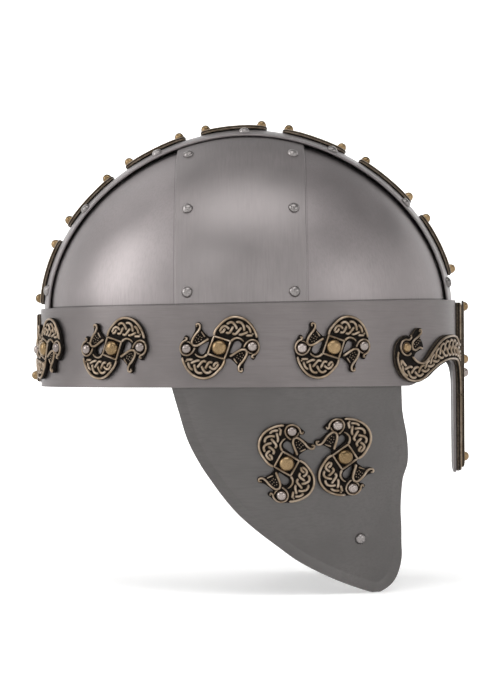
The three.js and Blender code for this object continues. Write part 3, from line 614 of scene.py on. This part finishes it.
# a casting stands a gap off the steel; its cords and domes start sunk below the plate's face, on deeper feet
cast = {"gap": 0.4, "plate": 1.5, "sunk": 0.05, "cordFoot": 0.45, "domeFoot": 0.4, "cell": 3.0,
        "dip": 0.9, "dipSpread": 0.42}  # a cord that goes under sinks by this share of its rise
castBase = cast["plate"] - cast["sunk"]
brass, steel = 1, 2  # places in castFinishes


def newRelief():
    return {"points": [], "faces": [], "wear": [], "finish": []}


def addPart(relief, points, faces, wear, finish=0):
    start = sum(len(block) for block in relief["points"])
    relief["points"].append(np.asarray(points, float))
    relief["wear"].append(np.asarray(wear, float))
    relief["faces"] += [tuple(start + i for i in face) for face in faces]
    relief["finish"] += [finish] * len(faces)


def offsetLoop(loop, distance):
    # moves a closed loop to its left by the distance
    return loop + distance * leftOf(np.roll(loop, -1, 0) - np.roll(loop, 1, 0))


def counterClockwise(loop):
    x, y = loop[:, 0], loop[:, 1]
    return loop if np.sum(x * np.roll(y, -1) - np.roll(x, -1) * y) > 0 else loop[::-1]


def addPlate(relief, outline, holes, high, ease=0.3, wear=0.1, edge=0.12):
    # a flat plate with eased upper edges, cut finely enough to bend; edge is how far its sides are rubbed
    step = cast["cell"]
    loops = [counterClockwise(np.asarray(outline, float))]
    loops += [counterClockwise(np.asarray(hole, float))[::-1] for hole in holes]
    work = bmesh.new()
    tops, bottoms = [], []
    for loop in loops:
        inner = offsetLoop(loop, ease)
        rings = [[work.verts.new((*p, level)) for p in ring]
                 for ring, level in ((loop, 0.0), (loop, high - ease), (inner, high))]
        count = len(loop)
        for lower, upper in zip(rings, rings[1:]):
            for i in range(count):
                n = (i + 1) % count
                work.faces.new((lower[i], lower[n], upper[n], upper[i]))
        tops.append(rings[2])
        bottoms.append(rings[0])
    for rings, flip in ((tops, False), (bottoms, True)):
        flat = [vert for ring in rings for vert in ring]
        for a, b, c in geometry.tessellate_polygon([[vert.co.copy() for vert in ring] for ring in rings]):
            corners = [flat[a], flat[b], flat[c]]
            up = (corners[1].co - corners[0].co).cross(corners[2].co - corners[0].co).z > 0
            if up == flip:
                corners.reverse()
            try:
                work.faces.new(corners)
            except ValueError:
                pass
    low, far = np.min(loops[0], 0), np.max(loops[0], 0)
    for axis in (0, 1):
        for cut in np.arange(math.floor(low[axis] / step) * step, far[axis], step):
            normal = (1, 0, 0) if axis == 0 else (0, 1, 0)
            bmesh.ops.bisect_plane(work, geom=work.verts[:] + work.edges[:] + work.faces[:],
                                   plane_co=[cut * n for n in normal], plane_no=normal)
    bmesh.ops.triangulate(work, faces=work.faces)
    work.verts.index_update()
    points = [vert.co[:] for vert in work.verts]
    wearOf = [wear if vert.co.z > high - 0.01 else edge for vert in work.verts]
    addPart(relief, points, [[v.index for v in face.verts] for face in work.faces], wearOf)
    work.free()


def addStrand(relief, line, width, rise, base=castBase, closed=False, taper=(1.0, 1.0), unders=(), shine=1.0):
    # a raised cord with a round back; it dives under wherever a crossing says so
    line = np.asarray(line, float)[:, :2]
    ahead = np.roll(line, -1, 0) if closed else np.concatenate([line[1:], 2 * line[-1:] - line[-2:-1]])
    behind = np.roll(line, 1, 0) if closed else np.concatenate([2 * line[:1] - line[1:2], line[:-1]])
    side, run = leftOf(ahead - behind), runAlong(line)
    size = taper[0] + (taper[1] - taper[0]) * run / run[-1]
    if not closed:
        for gap in (run, run[-1] - run):  # round ends
            near = np.clip(gap / (0.5 * width), 0, 1)
            size = size * np.sqrt(np.clip(1 - (1 - near) ** 2, 0.02, 1))
    dip = np.zeros(len(line))
    for spot, spread in unders:
        dip = np.maximum(dip, np.exp(-(((run - spot) / spread) ** 4)))
    turn = np.linspace(0, np.pi, 7)
    sections = 9
    across = np.concatenate([[-1], -np.cos(turn), [1]]) / 2
    lift = np.concatenate([[0], np.sin(turn), [0]])
    foot = np.ones(sections)
    foot[[0, -1]] = 0
    points, wear = [], []
    for i, spot in enumerate(line):
        flat = spot + np.outer(across * width * size[i], side[i])
        top = rise * (lift * (0.35 + 0.65 * size[i]) - cast["dip"] * dip[i]) * foot
        top -= (1 - foot) * cast["cordFoot"]
        points.append(np.column_stack([flat, base + np.maximum(top, -cast["cordFoot"])]))
        wear.append(shine * (lift**0.7) * (1 - cast["dip"] * dip[i]))
    faces = [face[::-1] for face in gridFaces(len(line), sections, ring=True)]
    end = (len(line) - 1) * sections
    if closed:
        for k in range(sections):
            after = (k + 1) % sections
            faces.append((end + after, after, k, end + k))
    else:
        faces.append(tuple(range(sections)))
        faces.append(tuple(end + k for k in reversed(range(sections))))
    addPart(relief, np.concatenate(points), faces, np.concatenate(wear))


def crossingsOf(lines):
    # where the lines cross: (line, run along it, other line, run along that, how squarely)
    def crossed(a, b):
        return a[..., 0] * b[..., 1] - a[..., 1] * b[..., 0]

    found = []
    for i, first in enumerate(lines):
        for j, second in enumerate(lines[i:], i):
            r, s = np.diff(first, axis=0)[:, None], np.diff(second, axis=0)[None]
            gap = second[None, :-1] - first[:-1, None]
            cross, runs = crossed(r, s), (runAlong(first), runAlong(second))
            with np.errstate(divide="ignore", invalid="ignore"):
                t, w = crossed(gap, s) / cross, crossed(gap, r) / cross
            for a, b in np.argwhere((t >= 0) & (t < 1) & (w >= 0) & (w < 1)):
                if i != j or b > a + 2:
                    far, long = np.linalg.norm(r[a, 0]), np.linalg.norm(s[0, b])
                    found.append((i, runs[0][a] + t[a, b] * far, j, runs[1][b] + w[a, b] * long,
                                  abs(cross[a, b]) / (far * long)))
    return found


def addWeave(relief, lines, width, rise, base=castBase):
    # cords that go over and under each other in turn
    lines = [np.asarray(line, float)[:, :2] for line in lines]
    events = [[] for _ in lines]
    for number, (i, runI, j, runJ, square) in enumerate(crossingsOf(lines)):
        events[i].append((runI, number, 0, square))
        events[j].append((runJ, number, 1, square))
    over = {}
    for listed in events:
        listed.sort()
        phase = 0
        for k, (_, number, which, _) in enumerate(listed):
            if number in over:
                phase = (k + (0 if over[number] == which else 1)) % 2
                break
        for k, (_, number, which, _) in enumerate(listed):
            if number not in over:
                isOver = (k + phase) % 2 == 0
                over[number] = which if isOver else 1 - which
    for line, listed in zip(lines, events):
        unders = [(run, 0.5 * width / max(square, 0.55) + cast["dipSpread"])
                  for run, number, which, square in listed if over[number] != which]
        addStrand(relief, line, width, rise, base, unders=unders)


def addTurned(relief, u, v, steps, sides, wear, finish=0, peak=None):
    # a turned shape from its hidden foot up: steps are (radius, level), each with its own wear
    points = [(*spot, level) for radius, level in steps for spot in circle(u, v, radius, sides)]
    faces = gridFaces(len(steps), sides, ring=True)
    top, wear = len(points) - sides, list(np.repeat(wear, sides))
    if peak is None:
        faces.append(tuple(range(top, top + sides)))
    else:
        faces += [(top + k, top + (k + 1) % sides, top + sides) for k in range(sides)]
        points.append((u, v, peak))
        wear.append(wear[-1])
    faces.append(tuple(reversed(range(sides))))
    addPart(relief, points, faces, wear, finish)


def addDome(relief, u, v, radius, height, finish, base=castBase):
    turns = 0.48 * np.pi * np.arange(9) / 8
    steps = [(radius, base - cast["domeFoot"])]
    steps += [(radius * math.cos(turn) ** 0.85, base + height * (0.18 + 0.82 * math.sin(turn)))
              for turn in turns]
    addTurned(relief, u, v, steps, 32, [0.1] + [1.0] * len(turns), finish)


def addRing(relief, u, v, radius, width, rise, base=castBase):
    addStrand(relief, circle(u, v, radius, 40), width, rise, base, closed=True, shine=0.8)


def addStipple(relief, spots, radius, height, base=castBase):
    # small round grains
    profile = ((1.0, -0.2), (0.85, 0.55), (0.45, 0.92))
    steps = [(radius * share, base + height * level) for share, level in profile]
    for u, v in spots:
        addTurned(relief, u, v, steps, 10, [0.1, 0.6, 0.85], peak=base + height)


def addCords(relief, cords, way, step):
    for width, rise, taper, route in cords.values():
        addStrand(relief, smoothLine(np.array(route) * way, step), width, rise, taper=taper)


def plaitLines(centre, reach, cycles, phase=0.0):
    # three cords swinging across a centre line; reach is how far each side, given at the centre's points
    centre = smoothLine(np.column_stack([centre, reach]), 0.45)
    spots, swing = centre[:, :2], centre[:, 2]
    side, run = leftOf(np.gradient(spots, axis=0)), runAlong(spots)
    share = run / run[-1]
    lines = []
    for k in range(3):
        angle = 2 * np.pi * (cycles * share + k / 3) + phase
        wave = np.sin(angle) * (1.06 - 0.16 * np.sin(angle) ** 2)
        lines.append(spots + side * (swing * wave)[:, None])
    return lines


def addBeast(relief, beast, way, step):
    # a beast's cords, grains, eye and plait, turned round or mirrored by way
    addCords(relief, beast["cords"], way, step)
    for radius, height, spots in beast["grains"]:
        addStipple(relief, np.array(spots) * way, radius, height)
    eye, plait = beast["eye"], beast["plait"]
    addDome(relief, *np.multiply(eye["spot"], way), eye["radius"], eye["height"], eye["finish"])
    centre = np.array(plait["centre"]) * way
    addWeave(relief, plaitLines(centre, plait["reach"], plait["cycles"], plait["phase"]), plait["width"],
             plait["rise"])


def placedMesh(name, nodeName, relief, place, flip):
    points = np.concatenate(relief["points"])
    placed = place(points[:, 0], points[:, 1], points[:, 2] + cast["gap"])
    mesh = bpy.data.meshes.new(name)
    faces = [face[::-1] for face in relief["faces"]] if flip else relief["faces"]
    mesh.from_pydata((placed * mm).tolist(), [], faces)
    for material in castFinishes:
        mesh.materials.append(material)
    mesh.polygons.foreach_set("material_index", relief["finish"])
    mesh.attributes.new("wear", "FLOAT", "POINT").data.foreach_set("value", np.concatenate(relief["wear"]))
    mesh.shade_smooth()
    mesh.set_sharp_from_angle(angle=math.radians(48))
    return addPiece(name, mesh, nodeName)


# the S-shaped beast: one half is drawn, and the other is the same turned round
dragonSize = 22.3
dragonHalfOutline = np.array([
    (-0.135, 0.314), (-0.09, 0.43), (-0.013, 0.556), (0.197, 0.74), (0.408, 0.794), (0.65, 0.722),
    (0.843, 0.53), (0.945, 0.31), (0.965, 0.19), (1, 0.027), (0.972, -0.1), (0.905, -0.225), (0.85, -0.31),
    (0.775, -0.27), (0.765, -0.19), (0.725, -0.2), (0.66, -0.32), (0.6, -0.45), (0.595, -0.59),
    (0.53, -0.635), (0.455, -0.59), (0.44, -0.46), (0.36, -0.36), (0.235, -0.27),
])
dragonHole = [(0.265, -0.143), (0.32, 0.03), (0.386, 0.143), (0.466, 0.161), (0.545, 0.09), (0.52, -0.01),
              (0.43, -0.081)]
dragonFrame = np.array([(-2.8, 6.4), (6.3, 3.4), (2.8, -6.4), (-6.3, -3.4)])
dragonHalf = {
    "cords": {  # width, rise, taper and route
        "rim": (1.6, 1.4, (1.0, 1.0), [
            (-3.0, 6.6), (-2.2, 9.2), (-0.1, 12.0), (4.4, 15.9), (9.1, 17.0), (14.3, 15.4), (18.2, 11.4),
            (20.2, 7.2), (20.6, 5.2)]),
        "eyeRing": (1.4, 1.4, (0.85, 1.0), [
            (13.4, -0.2), (14.3, 1.6), (15.9, 3.4), (18.1, 4.2), (20.6, 3.2), (21.7, 0.5), (21.2, -1.9),
            (19.9, -3.5), (18.3, -4.3), (17.9, -5.2), (18.5, -5.9)]),
        "eyeUnder": (0.9, 0.9, (1.0, 1.0), [(15.4, -1.9), (16.8, -3.1), (18.4, -3.3)]),
        "forelock": (1.5, 1.3, (1.1, 0.6), [(6.4, 3.5), (8.2, 4.9), (10.1, 5.3), (12.4, 4.4), (13.6, 3.1)]),
        "jaw": (1.55, 1.4, (1.05, 0.9), [
            (5.6, -4.9), (7.6, -3.8), (9.6, -2.5), (12.3, -1.2), (14.4, -1.4), (15.2, -2.9), (14.3, -5.4),
            (12.9, -7.6), (11.3, -9.5), (10.5, -11.4), (10.9, -13.0), (12.2, -13.2), (12.8, -12.2)]),
        "tooth": (1.15, 1.1, (1.0, 0.6), [(7.8, -5.8), (8.8, -7.4), (10.0, -9.0)]),
    },
    "grains": (  # radius, height and places
        (0.42, 0.75, [(11.2, -3.4), (12.5, -3.1), (13.3, -4.2), (9.9, -4.4), (11.5, -4.9), (12.6, -5.6),
                      (10.6, -6.1), (11.6, -7.0), (9.6, -5.6)]),
        (0.62, 1.2, [(12.4, -12.0), (18.7, -5.6)]),
    ),
    "eye": {"spot": (18.1, 0.5), "radius": 2.8, "height": 2.9, "finish": steel},
    "plait": {"centre": [(0.2, 8.6), (3.6, 10.3), (7.8, 10.9), (11.8, 10.4), (15.6, 8.6), (18.6, 6.6)],
              "reach": [0.3, 2.5, 3.8, 3.7, 2.5, 0.3], "cycles": 1.5, "phase": 0.6, "width": 1.72,
              "rise": 1.3},
}
dragonBoss = {"radius": 4.2, "height": 3.6, "frameWidth": 1.35, "frameRise": 1.3}


def cutLoop(corners, countOf):
    # a closed polygon with its sides cut into shorter ones
    return np.concatenate([np.linspace(a, b, countOf(np.linalg.norm(b - a)), endpoint=False)
                           for a, b in zip(corners, np.roll(corners, -1, 0))])


def makeDragon():
    relief = newRelief()
    half = dragonHalfOutline * dragonSize
    outline = smoothLine(np.concatenate([half, -half]), 0.9, closed=True)
    hole = smoothLine(np.array(dragonHole) * dragonSize, 0.6, closed=True)
    addPlate(relief, outline, [hole, -hole], cast["plate"])
    frameLine = cutLoop(dragonFrame, lambda length: 12)
    addStrand(relief, frameLine, dragonBoss["frameWidth"], dragonBoss["frameRise"], closed=True)
    addDome(relief, 0, 0, dragonBoss["radius"], dragonBoss["height"], brass)
    for turn in (1, -1):
        addBeast(relief, dragonHalf, turn, 0.55)
    return relief


def onBrow(middle, height, flip):
    def place(u, v, w):
        return ontoBrow(middle + u, height + v, w) * np.array([1, flip, 1])
    return place


def onCheekAt(x, z, turn, facing, flip):
    cos, sin = math.cos(math.radians(turn)), math.sin(math.radians(turn))

    def place(u, v, w):
        x1, z1 = x + facing * (cos * u - sin * v), z + sin * u + cos * v
        return (ontoCheek(x1, z1) + cheekNormal(x1, z1) * w[:, None]) * np.array([1, flip, 1])
    return place


browDragons = {"fromBack": 33.0, "pitch": 63.5, "height": 22.2}
cheekDragons = (("rear", 20.6, -42.3, 79, 1), ("front", 52.9, -39.1, 75, -1))  # place, turn in degrees, facing
dragon = makeDragon()
for side, flip in (("right", 1), ("left", -1)):
    for i in range(4):
        arc = browDragons["fromBack"] + i * browDragons["pitch"] - browHalf
        placedMesh(f"browDragon{side.title()}{i + 1}", f"dragon_brow_{side}_{i + 1}", dragon,
                   onBrow(arc, browDragons["height"], flip), flip < 0)
    for name, x, z, turn, facing in cheekDragons:
        placedMesh(f"cheekDragon{side.title()}{name.title()}", f"dragon_cheek_{side}_{name}", dragon,
                   onCheekAt(x, z, turn, facing, flip), facing * flip < 0)
print("dragons made")

plaque = {"pitch": 48.3, "shift": -8.0, "plate": 1.1, "radius": 2.8, "height": 4.4, "collar": 3.22,
          "collarWidth": 0.5, "collarRise": 0.55, "beadRing": 4.15, "beadRadius": 0.4,
          "beadHeight": 0.6, "beadMargin": 2.6, "plaitMargin": 3.3, "cordWidth": 1.8, "cordRise": 1.1}
plaqueRims = ((0.75, 1.3, 0.95, 1.0), (2.1, 0.6, 0.5, 0.7))  # inset, width, rise and shine
crestTablet = {"length": 39.0, "width": 20.0, "domes": (-16.2, 16.2), "weave": (-12.3, 12.3), "cycles": 2.0}
backTablet = {"length": 40.0, "width": 17.0, "domes": (-16.2,), "weave": (-12.0, 17.0), "cycles": 2.4}


def tabletOutline(length, width):
    corner = width * 0.32
    u, v = length / 2, width / 2
    quarter = [(u, 0.0), (u, v - 1.1 * corner), (u - 0.25 * corner, v - 0.4 * corner), (u - corner, v),
               (0.0, v)]
    top = quarter + [(-a, b) for a, b in reversed(quarter[:-1])]
    return np.array(top + [(a, -b) for a, b in reversed(top[1:-1])])


def makePlaque(tablet):
    relief = newRelief()
    length, width = tablet["length"], tablet["width"]
    base = plaque["plate"] - cast["sunk"]
    outline = counterClockwise(smoothLine(tabletOutline(length, width), 0.8, closed=True))
    addPlate(relief, outline, [], plaque["plate"], edge=0.62)
    for inset, rimWidth, rise, shine in plaqueRims:
        addStrand(relief, offsetLoop(outline, inset), rimWidth, rise, base, closed=True, shine=shine)
    for u in tablet["domes"]:
        addDome(relief, u, 0, plaque["radius"], plaque["height"], brass, base)
        addRing(relief, u, 0, plaque["collar"], plaque["collarWidth"], plaque["collarRise"], base)
        beads = [spot for spot in circle(u, 0, plaque["beadRing"], 12)
                 if abs(spot[0]) < length / 2 - plaque["beadMargin"]]
        addStipple(relief, beads, plaque["beadRadius"], plaque["beadHeight"], plaque["plate"])
    centre = np.column_stack([np.linspace(*tablet["weave"], 9), np.zeros(9)])
    reach = (width / 2 - plaque["plaitMargin"]) * np.array([0.12, 0.75, 0.98, 1, 1, 1, 0.98, 0.75, 0.12])
    plait = plaitLines(centre, reach, tablet["cycles"], 0.5)
    addWeave(relief, plait, plaque["cordWidth"], plaque["cordRise"], base)
    return relief


def onCrest(middle):
    def place(u, v, w):
        x, z, nx, nz = crestSpot(middle + u)
        return np.stack([x + nx * w, v, z + nz * w], -1)
    return place


crestPlaque = makePlaque(crestTablet)
for i in range(7):
    placedMesh(f"crestPlaque{i + 1}", f"crest_plaque_{i + 1}", crestPlaque,
               onCrest(plaque["shift"] + (i - 3) * plaque["pitch"]), False)


def onBack(u, v, w):
    return ontoBrow(browHalf - v, brow["rear"] / 2 + u, w)


placedMesh("backPlaque", "back_plaque", makePlaque(backTablet), onBack, False)
print("plaques made")

# the eyebrow beasts and the nasal bar: arc from the middle, height up the band
eyebrowOutline = np.array([
    (0.124, 0.985), (0.124, 0.46), (0.16, 0.44), (0.21, 0.455), (0.27, 0.52), (0.34, 0.575), (0.42, 0.59),
    (0.5, 0.585), (0.57, 0.575), (0.64, 0.54), (0.7, 0.485), (0.76, 0.415), (0.84, 0.3), (0.88, 0.27),
    (0.92, 0.265), (0.965, 0.31), (0.95, 0.37), (0.9, 0.41), (0.865, 0.44), (0.875, 0.5), (0.9, 0.56),
    (0.875, 0.62), (0.88, 0.655), (0.93, 0.66), (0.975, 0.6), (1, 0.55), (1.03, 0.575), (1.06, 0.575),
    (1.13, 0.5), (1.155, 0.38), (1.145, 0.24), (1.1, 0.125), (1.06, 0.075), (1, 0.045), (0.95, 0.035),
    (0.9, 0.045), (0.85, 0.07), (0.8, 0.1), (0.72, 0.17), (0.64, 0.225), (0.56, 0.26), (0.49, 0.285),
    (0.41, 0.29), (0.34, 0.285), (0.28, 0.27), (0.235, 0.235), (0.195, 0.17), (0.165, 0.1), (0.14, 0.0),
    (0.124, -0.1),
]) * (77.0, 49.5)
eyebrow = {
    "cords": {
        "upper": (1.6, 1.45, (1.0, 1.0), [
            (12.6, 24.0), (15.6, 22.9), (19.0, 24.4), (24.5, 27.3), (30.5, 28.3), (38.5, 28.1),
            (46.0, 26.7), (52.0, 23.9), (58.0, 19.4), (63.0, 15.0), (66.0, 13.2), (70.0, 12.9),
            (73.0, 13.9), (76.4, 16.4)]),
        "lower": (1.6, 1.45, (0.9, 0.9), [
            (86.9, 19.5), (87.6, 16.0), (86.6, 11.4), (83.8, 6.7), (79.4, 3.7), (73.8, 2.9), (68.2, 3.9),
            (61.6, 7.6), (54.0, 11.5), (46.0, 14.0), (38.0, 15.2), (29.0, 15.2), (22.5, 14.4), (17.6, 11.6),
            (13.2, 6.6), (10.2, 0.0), (8.6, -6.0)]),
        "ring": (1.4, 1.45, (0.95, 0.8), [
            (77.4, 18.8), (79.0, 17.6), (81.2, 17.4), (84.0, 18.8), (85.4, 21.8), (84.4, 24.8), (81.6, 26.2),
            (79.0, 26.0), (77.6, 26.9), (77.0, 28.2)]),
        "jaw": (1.45, 1.45, (1.0, 0.85), [
            (67.9, 21.0), (70.6, 21.7), (73.6, 20.4), (76.1, 20.8), (76.8, 22.9), (75.9, 25.2), (73.6, 26.8),
            (71.2, 28.2), (69.3, 30.0), (69.2, 31.6), (70.6, 32.0)]),
    },
    "grains": (
        (0.42, 0.75, [(73.9, 22.3), (72.6, 23.3), (74.8, 23.6), (73.2, 24.6), (71.4, 24.2), (71.8, 25.8),
                      (70.2, 25.4), (70.1, 26.9)]),
        (0.65, 1.3, [(70.7, 31.0), (77.6, 28.5)]),
    ),
    "eye": {"spot": (81.0, 21.8), "radius": 2.7, "height": 2.9, "finish": brass},
    "plait": {
        "centre": [(84.7, 14.8), (83.0, 10.2), (78.8, 8.0), (73.0, 7.7), (66.5, 9.7), (60.0, 13.2),
                   (54.0, 16.8), (47.0, 20.0), (38.0, 21.6), (29.0, 21.6), (21.0, 19.6), (14.0, 17.4),
                   (8.2, 15.2)],
        "reach": [0.5, 2.2, 3.3, 3.2, 2.4, 2.4, 3.2, 4.2, 4.7, 4.6, 3.4, 2.6, 1.6],
        "cycles": 4.9, "phase": 0.0, "width": 1.85, "rise": 1.3,
    },
}
eyebrowCollar = {"radius": 2.9, "width": 0.45, "rise": 0.9}
nasalBar = {"halfWidth": 9.5, "tipHalfWidth": 9.2, "drop": 52.0, "rootTop": 48.2, "beadsAside": 7.0,
            "beadPitch": 1.55, "beadEnd": 46.5, "beadGap": (8.0, 25.0), "beadRadius": 0.5, "beadHeight": 0.6}
ridge = {"halfWidth": 5.5, "rise": 2.6, "low": -48.9, "high": 46.9, "chamfer": (1.2, 1.3), "foot": 0.6,
         "rimInset": 0.9, "rimWidth": 0.95, "rimRise": 0.55, "plaits": ((-39.2, 3.6), (18.2, 42.6)),
         "plaitPitch": 10.5, "plaitReach": 2.75, "cordWidth": 1.15, "cordRise": 0.6,
         "knobRadius": 2.8, "knobHeight": 3.4, "knobSunk": 0.15,
         "knobs": ((46.0, brass), (14.85, brass), (6.9, steel), (-42.6, brass))}
nasalRims = {
    "lower": (1.2, 1.3, (1.0, 1.0), [
        (8.55, -6.0), (8.5, -20.0), (8.4, -34.0), (8.3, -44.5), (7.2, -49.0), (4.0, -50.2), (0.0, -50.5)]),
    "upper": (1.2, 1.3, (1.0, 1.0), [
        (8.6, 26.0), (8.6, 36.0), (8.5, 45.0), (7.4, 47.3), (4.0, 47.7), (0.0, 47.7)]),
}
nasalEnd = np.array([(1, -0.45), (1, -0.88), (0.97, -0.93), (0.8, -0.965), (0.45, -0.983)])


def nasalOutline():
    edge = nasalBar["halfWidth"]
    side = eyebrowOutline.copy()
    side[[0, 1, -1], 0] = edge
    right = np.concatenate([[(edge, nasalBar["rootTop"]), (edge - 0.02, 36.0)], smoothLine(side[1:], 1.0),
                            nasalEnd * (nasalBar["tipHalfWidth"], nasalBar["drop"])])
    return np.concatenate([right, (right * (-1, 1))[::-1]])


def addRidge(relief):
    # a second plate on the bar, with a rim each side and a plait in each stretch between its domes
    width, low, high = ridge["halfWidth"], ridge["low"], ridge["high"]
    inner, drop = width - ridge["chamfer"][0], ridge["chamfer"][1]
    corners = np.array([(width, high - drop), (inner, high), (-inner, high), (-width, high - drop),
                        (-width, low + drop), (-inner, low), (inner, low), (width, low + drop)])
    outline = cutLoop(corners, lambda length: max(2, int(length / 1.2)))
    raised = newRelief()
    addPlate(raised, outline, [], ridge["rise"], ease=0.5, wear=0.15, edge=0.55)
    points = raised["points"][0]
    points[:, 2] = np.where(points[:, 2] < 0.01, ridge["foot"], points[:, 2] + cast["plate"])
    addPart(relief, points, raised["faces"], raised["wear"][0])
    top = castBase + ridge["rise"]
    for way in (1, -1):
        line = np.column_stack([np.full(60, way * (width - ridge["rimInset"])),
                                np.linspace(low + 0.9, high - 0.9, 60)])
        addStrand(relief, line, ridge["rimWidth"], ridge["rimRise"], top, shine=0.95)
    for start, end in ridge["plaits"]:
        centre = np.column_stack([np.zeros(9), np.linspace(start, end, 9)])
        reach = ridge["plaitReach"] * np.array([0.15, 0.85, 1, 1, 1, 1, 1, 0.85, 0.15])
        plait = plaitLines(centre, reach, (end - start) / ridge["plaitPitch"])
        addWeave(relief, plait, ridge["cordWidth"], ridge["cordRise"], top)
    seat = top - ridge["knobSunk"]
    for height, finish in ridge["knobs"]:
        addDome(relief, 0, height, ridge["knobRadius"], ridge["knobHeight"], finish, seat)
        addRing(relief, 0, height, plaque["collar"], plaque["collarWidth"], plaque["collarRise"], seat)


def makeNasalMount():
    relief = newRelief()
    addPlate(relief, nasalOutline(), [], cast["plate"], edge=0.5)
    for way in (1, -1):
        addBeast(relief, eyebrow, (way, 1), 0.6)
        u, v = eyebrow["eye"]["spot"]
        addRing(relief, way * u, v, eyebrowCollar["radius"], eyebrowCollar["width"], eyebrowCollar["rise"])
        addCords(relief, nasalRims, (way, 1), 0.9)
        end, (gapLow, gapHigh) = nasalBar["beadEnd"], nasalBar["beadGap"]
        beads = [(way * nasalBar["beadsAside"], v) for v in np.arange(-end, end, nasalBar["beadPitch"])
                 if not gapLow < v < gapHigh]
        addStipple(relief, beads, nasalBar["beadRadius"], nasalBar["beadHeight"])
    addRidge(relief)
    return relief


placedMesh("nasalMount", "nasal_mount", makeNasalMount(), ontoBrow, False)
print("nasal mount made")

# stage, light and camera

stage = {"floor": cadLow.z - 0.0004, "bright": 0.93, "flat": 2.1, "bend": 0.9, "top": 1.9, "glow": 0.26}


def makeStage():
    # a round pale floor that rolls up into its own backdrop on every side
    profile = [(0.35, 0.0), (0.9, 0.0), (stage["flat"], 0.0)]
    profile += [(stage["flat"] + stage["bend"] * math.sin(t), stage["bend"] * (1 - math.cos(t)))
                for t in np.linspace(0.08, math.pi / 2, 20)]
    profile.append((stage["flat"] + stage["bend"], stage["top"]))
    sides = 96
    points = [(*spot, stage["floor"] + z) for radius, z in profile for spot in circle(0, 0, radius, sides)]
    faces = [face[::-1] for face in gridFaces(len(profile), sides, ring=True)]
    faces.append(tuple(range(sides)))
    mesh = bpy.data.meshes.new("studioFloor")
    mesh.from_pydata(points, [], faces)
    mesh.shade_smooth()
    floor = newObject("studioFloor", mesh)
    material = bpy.data.materials.new("paleFloor")
    material.use_nodes = True
    tree = material.node_tree
    shader = tree.nodes["Principled BSDF"]
    bright = stage["bright"]
    speck = noise(tree, node(tree, "TexCoord", {}, "Object"), 3.0, 3.0)
    tint = blendColours(tree, speck, (bright, bright, bright, 1),
                        (bright * 0.985, bright * 0.985, bright * 0.98, 1))
    tree.links.new(tint, shader.inputs["Base Color"])
    shader.inputs["Roughness"].default_value = 0.75
    shader.inputs["Emission Color"].default_value = (1, 1, 1, 1)
    shader.inputs["Emission Strength"].default_value = stage["glow"]
    mesh.materials.append(material)


lights = {  # place, aim, size and watts
    "keyBox": ((-1.5, -0.48, 0.8), (0, 0, 0.05), (0.65, 1.3), 10.5),
    "crownBox": ((-0.9, 0.75, 1.5), (0, 0, 0.05), (1.2, 1.0), 3.6),
    "fillBox": ((1.3, -1.1, 0.6), (0, 0, 0.05), (0.6, 0.7), 2.0),
    "topBox": ((0.0, -0.7, 1.8), (0, 0, 0.05), (1.6, 1.0), 12.0),
    "sparkBox": ((-0.45, -1.2, 0.85), (0, 0, 0.03), (0.16, 0.16), 1.1),
    "backBox": ((0.0, 1.9, 1.3), (0.0, 3.0, 0.25), (0.9, 0.4), 17.0),
}


def addLight(name, place, aim, size, watts):
    light = bpy.data.lights.new(name, "AREA")
    light.shape, light.size, light.size_y, light.energy = "RECTANGLE", size[0], size[1], watts
    lamp = newObject(name, light)
    lamp.location = place
    lamp.rotation_mode = "QUATERNION"
    lamp.rotation_quaternion = (Vector(aim) - Vector(place)).to_track_quat("-Z", "Y")


makeStage()
for name, row in lights.items():
    addLight(name, *row)

world = bpy.data.worlds.new("studio")
world.use_nodes = True
backdrop = world.node_tree.nodes["Background"]
backdrop.inputs["Color"].default_value = (0.95, 0.945, 0.945, 1)
backdrop.inputs["Strength"].default_value = 0.5
bpy.context.scene.world = world
bpy.context.scene.view_settings.view_transform = "Standard"

camera = newObject("camera", bpy.data.cameras.new("camera"))
camera.data.sensor_width, camera.data.lens = 36.0, 139.0  # the width lies along the picture's long side
camera.location = (0.0009, -1.6, 0.0208)
camera.rotation_mode = "XYZ"
camera.rotation_euler = (math.radians(90), math.radians(0.3), 0)
bpy.context.scene.camera = camera

print("scene finished")
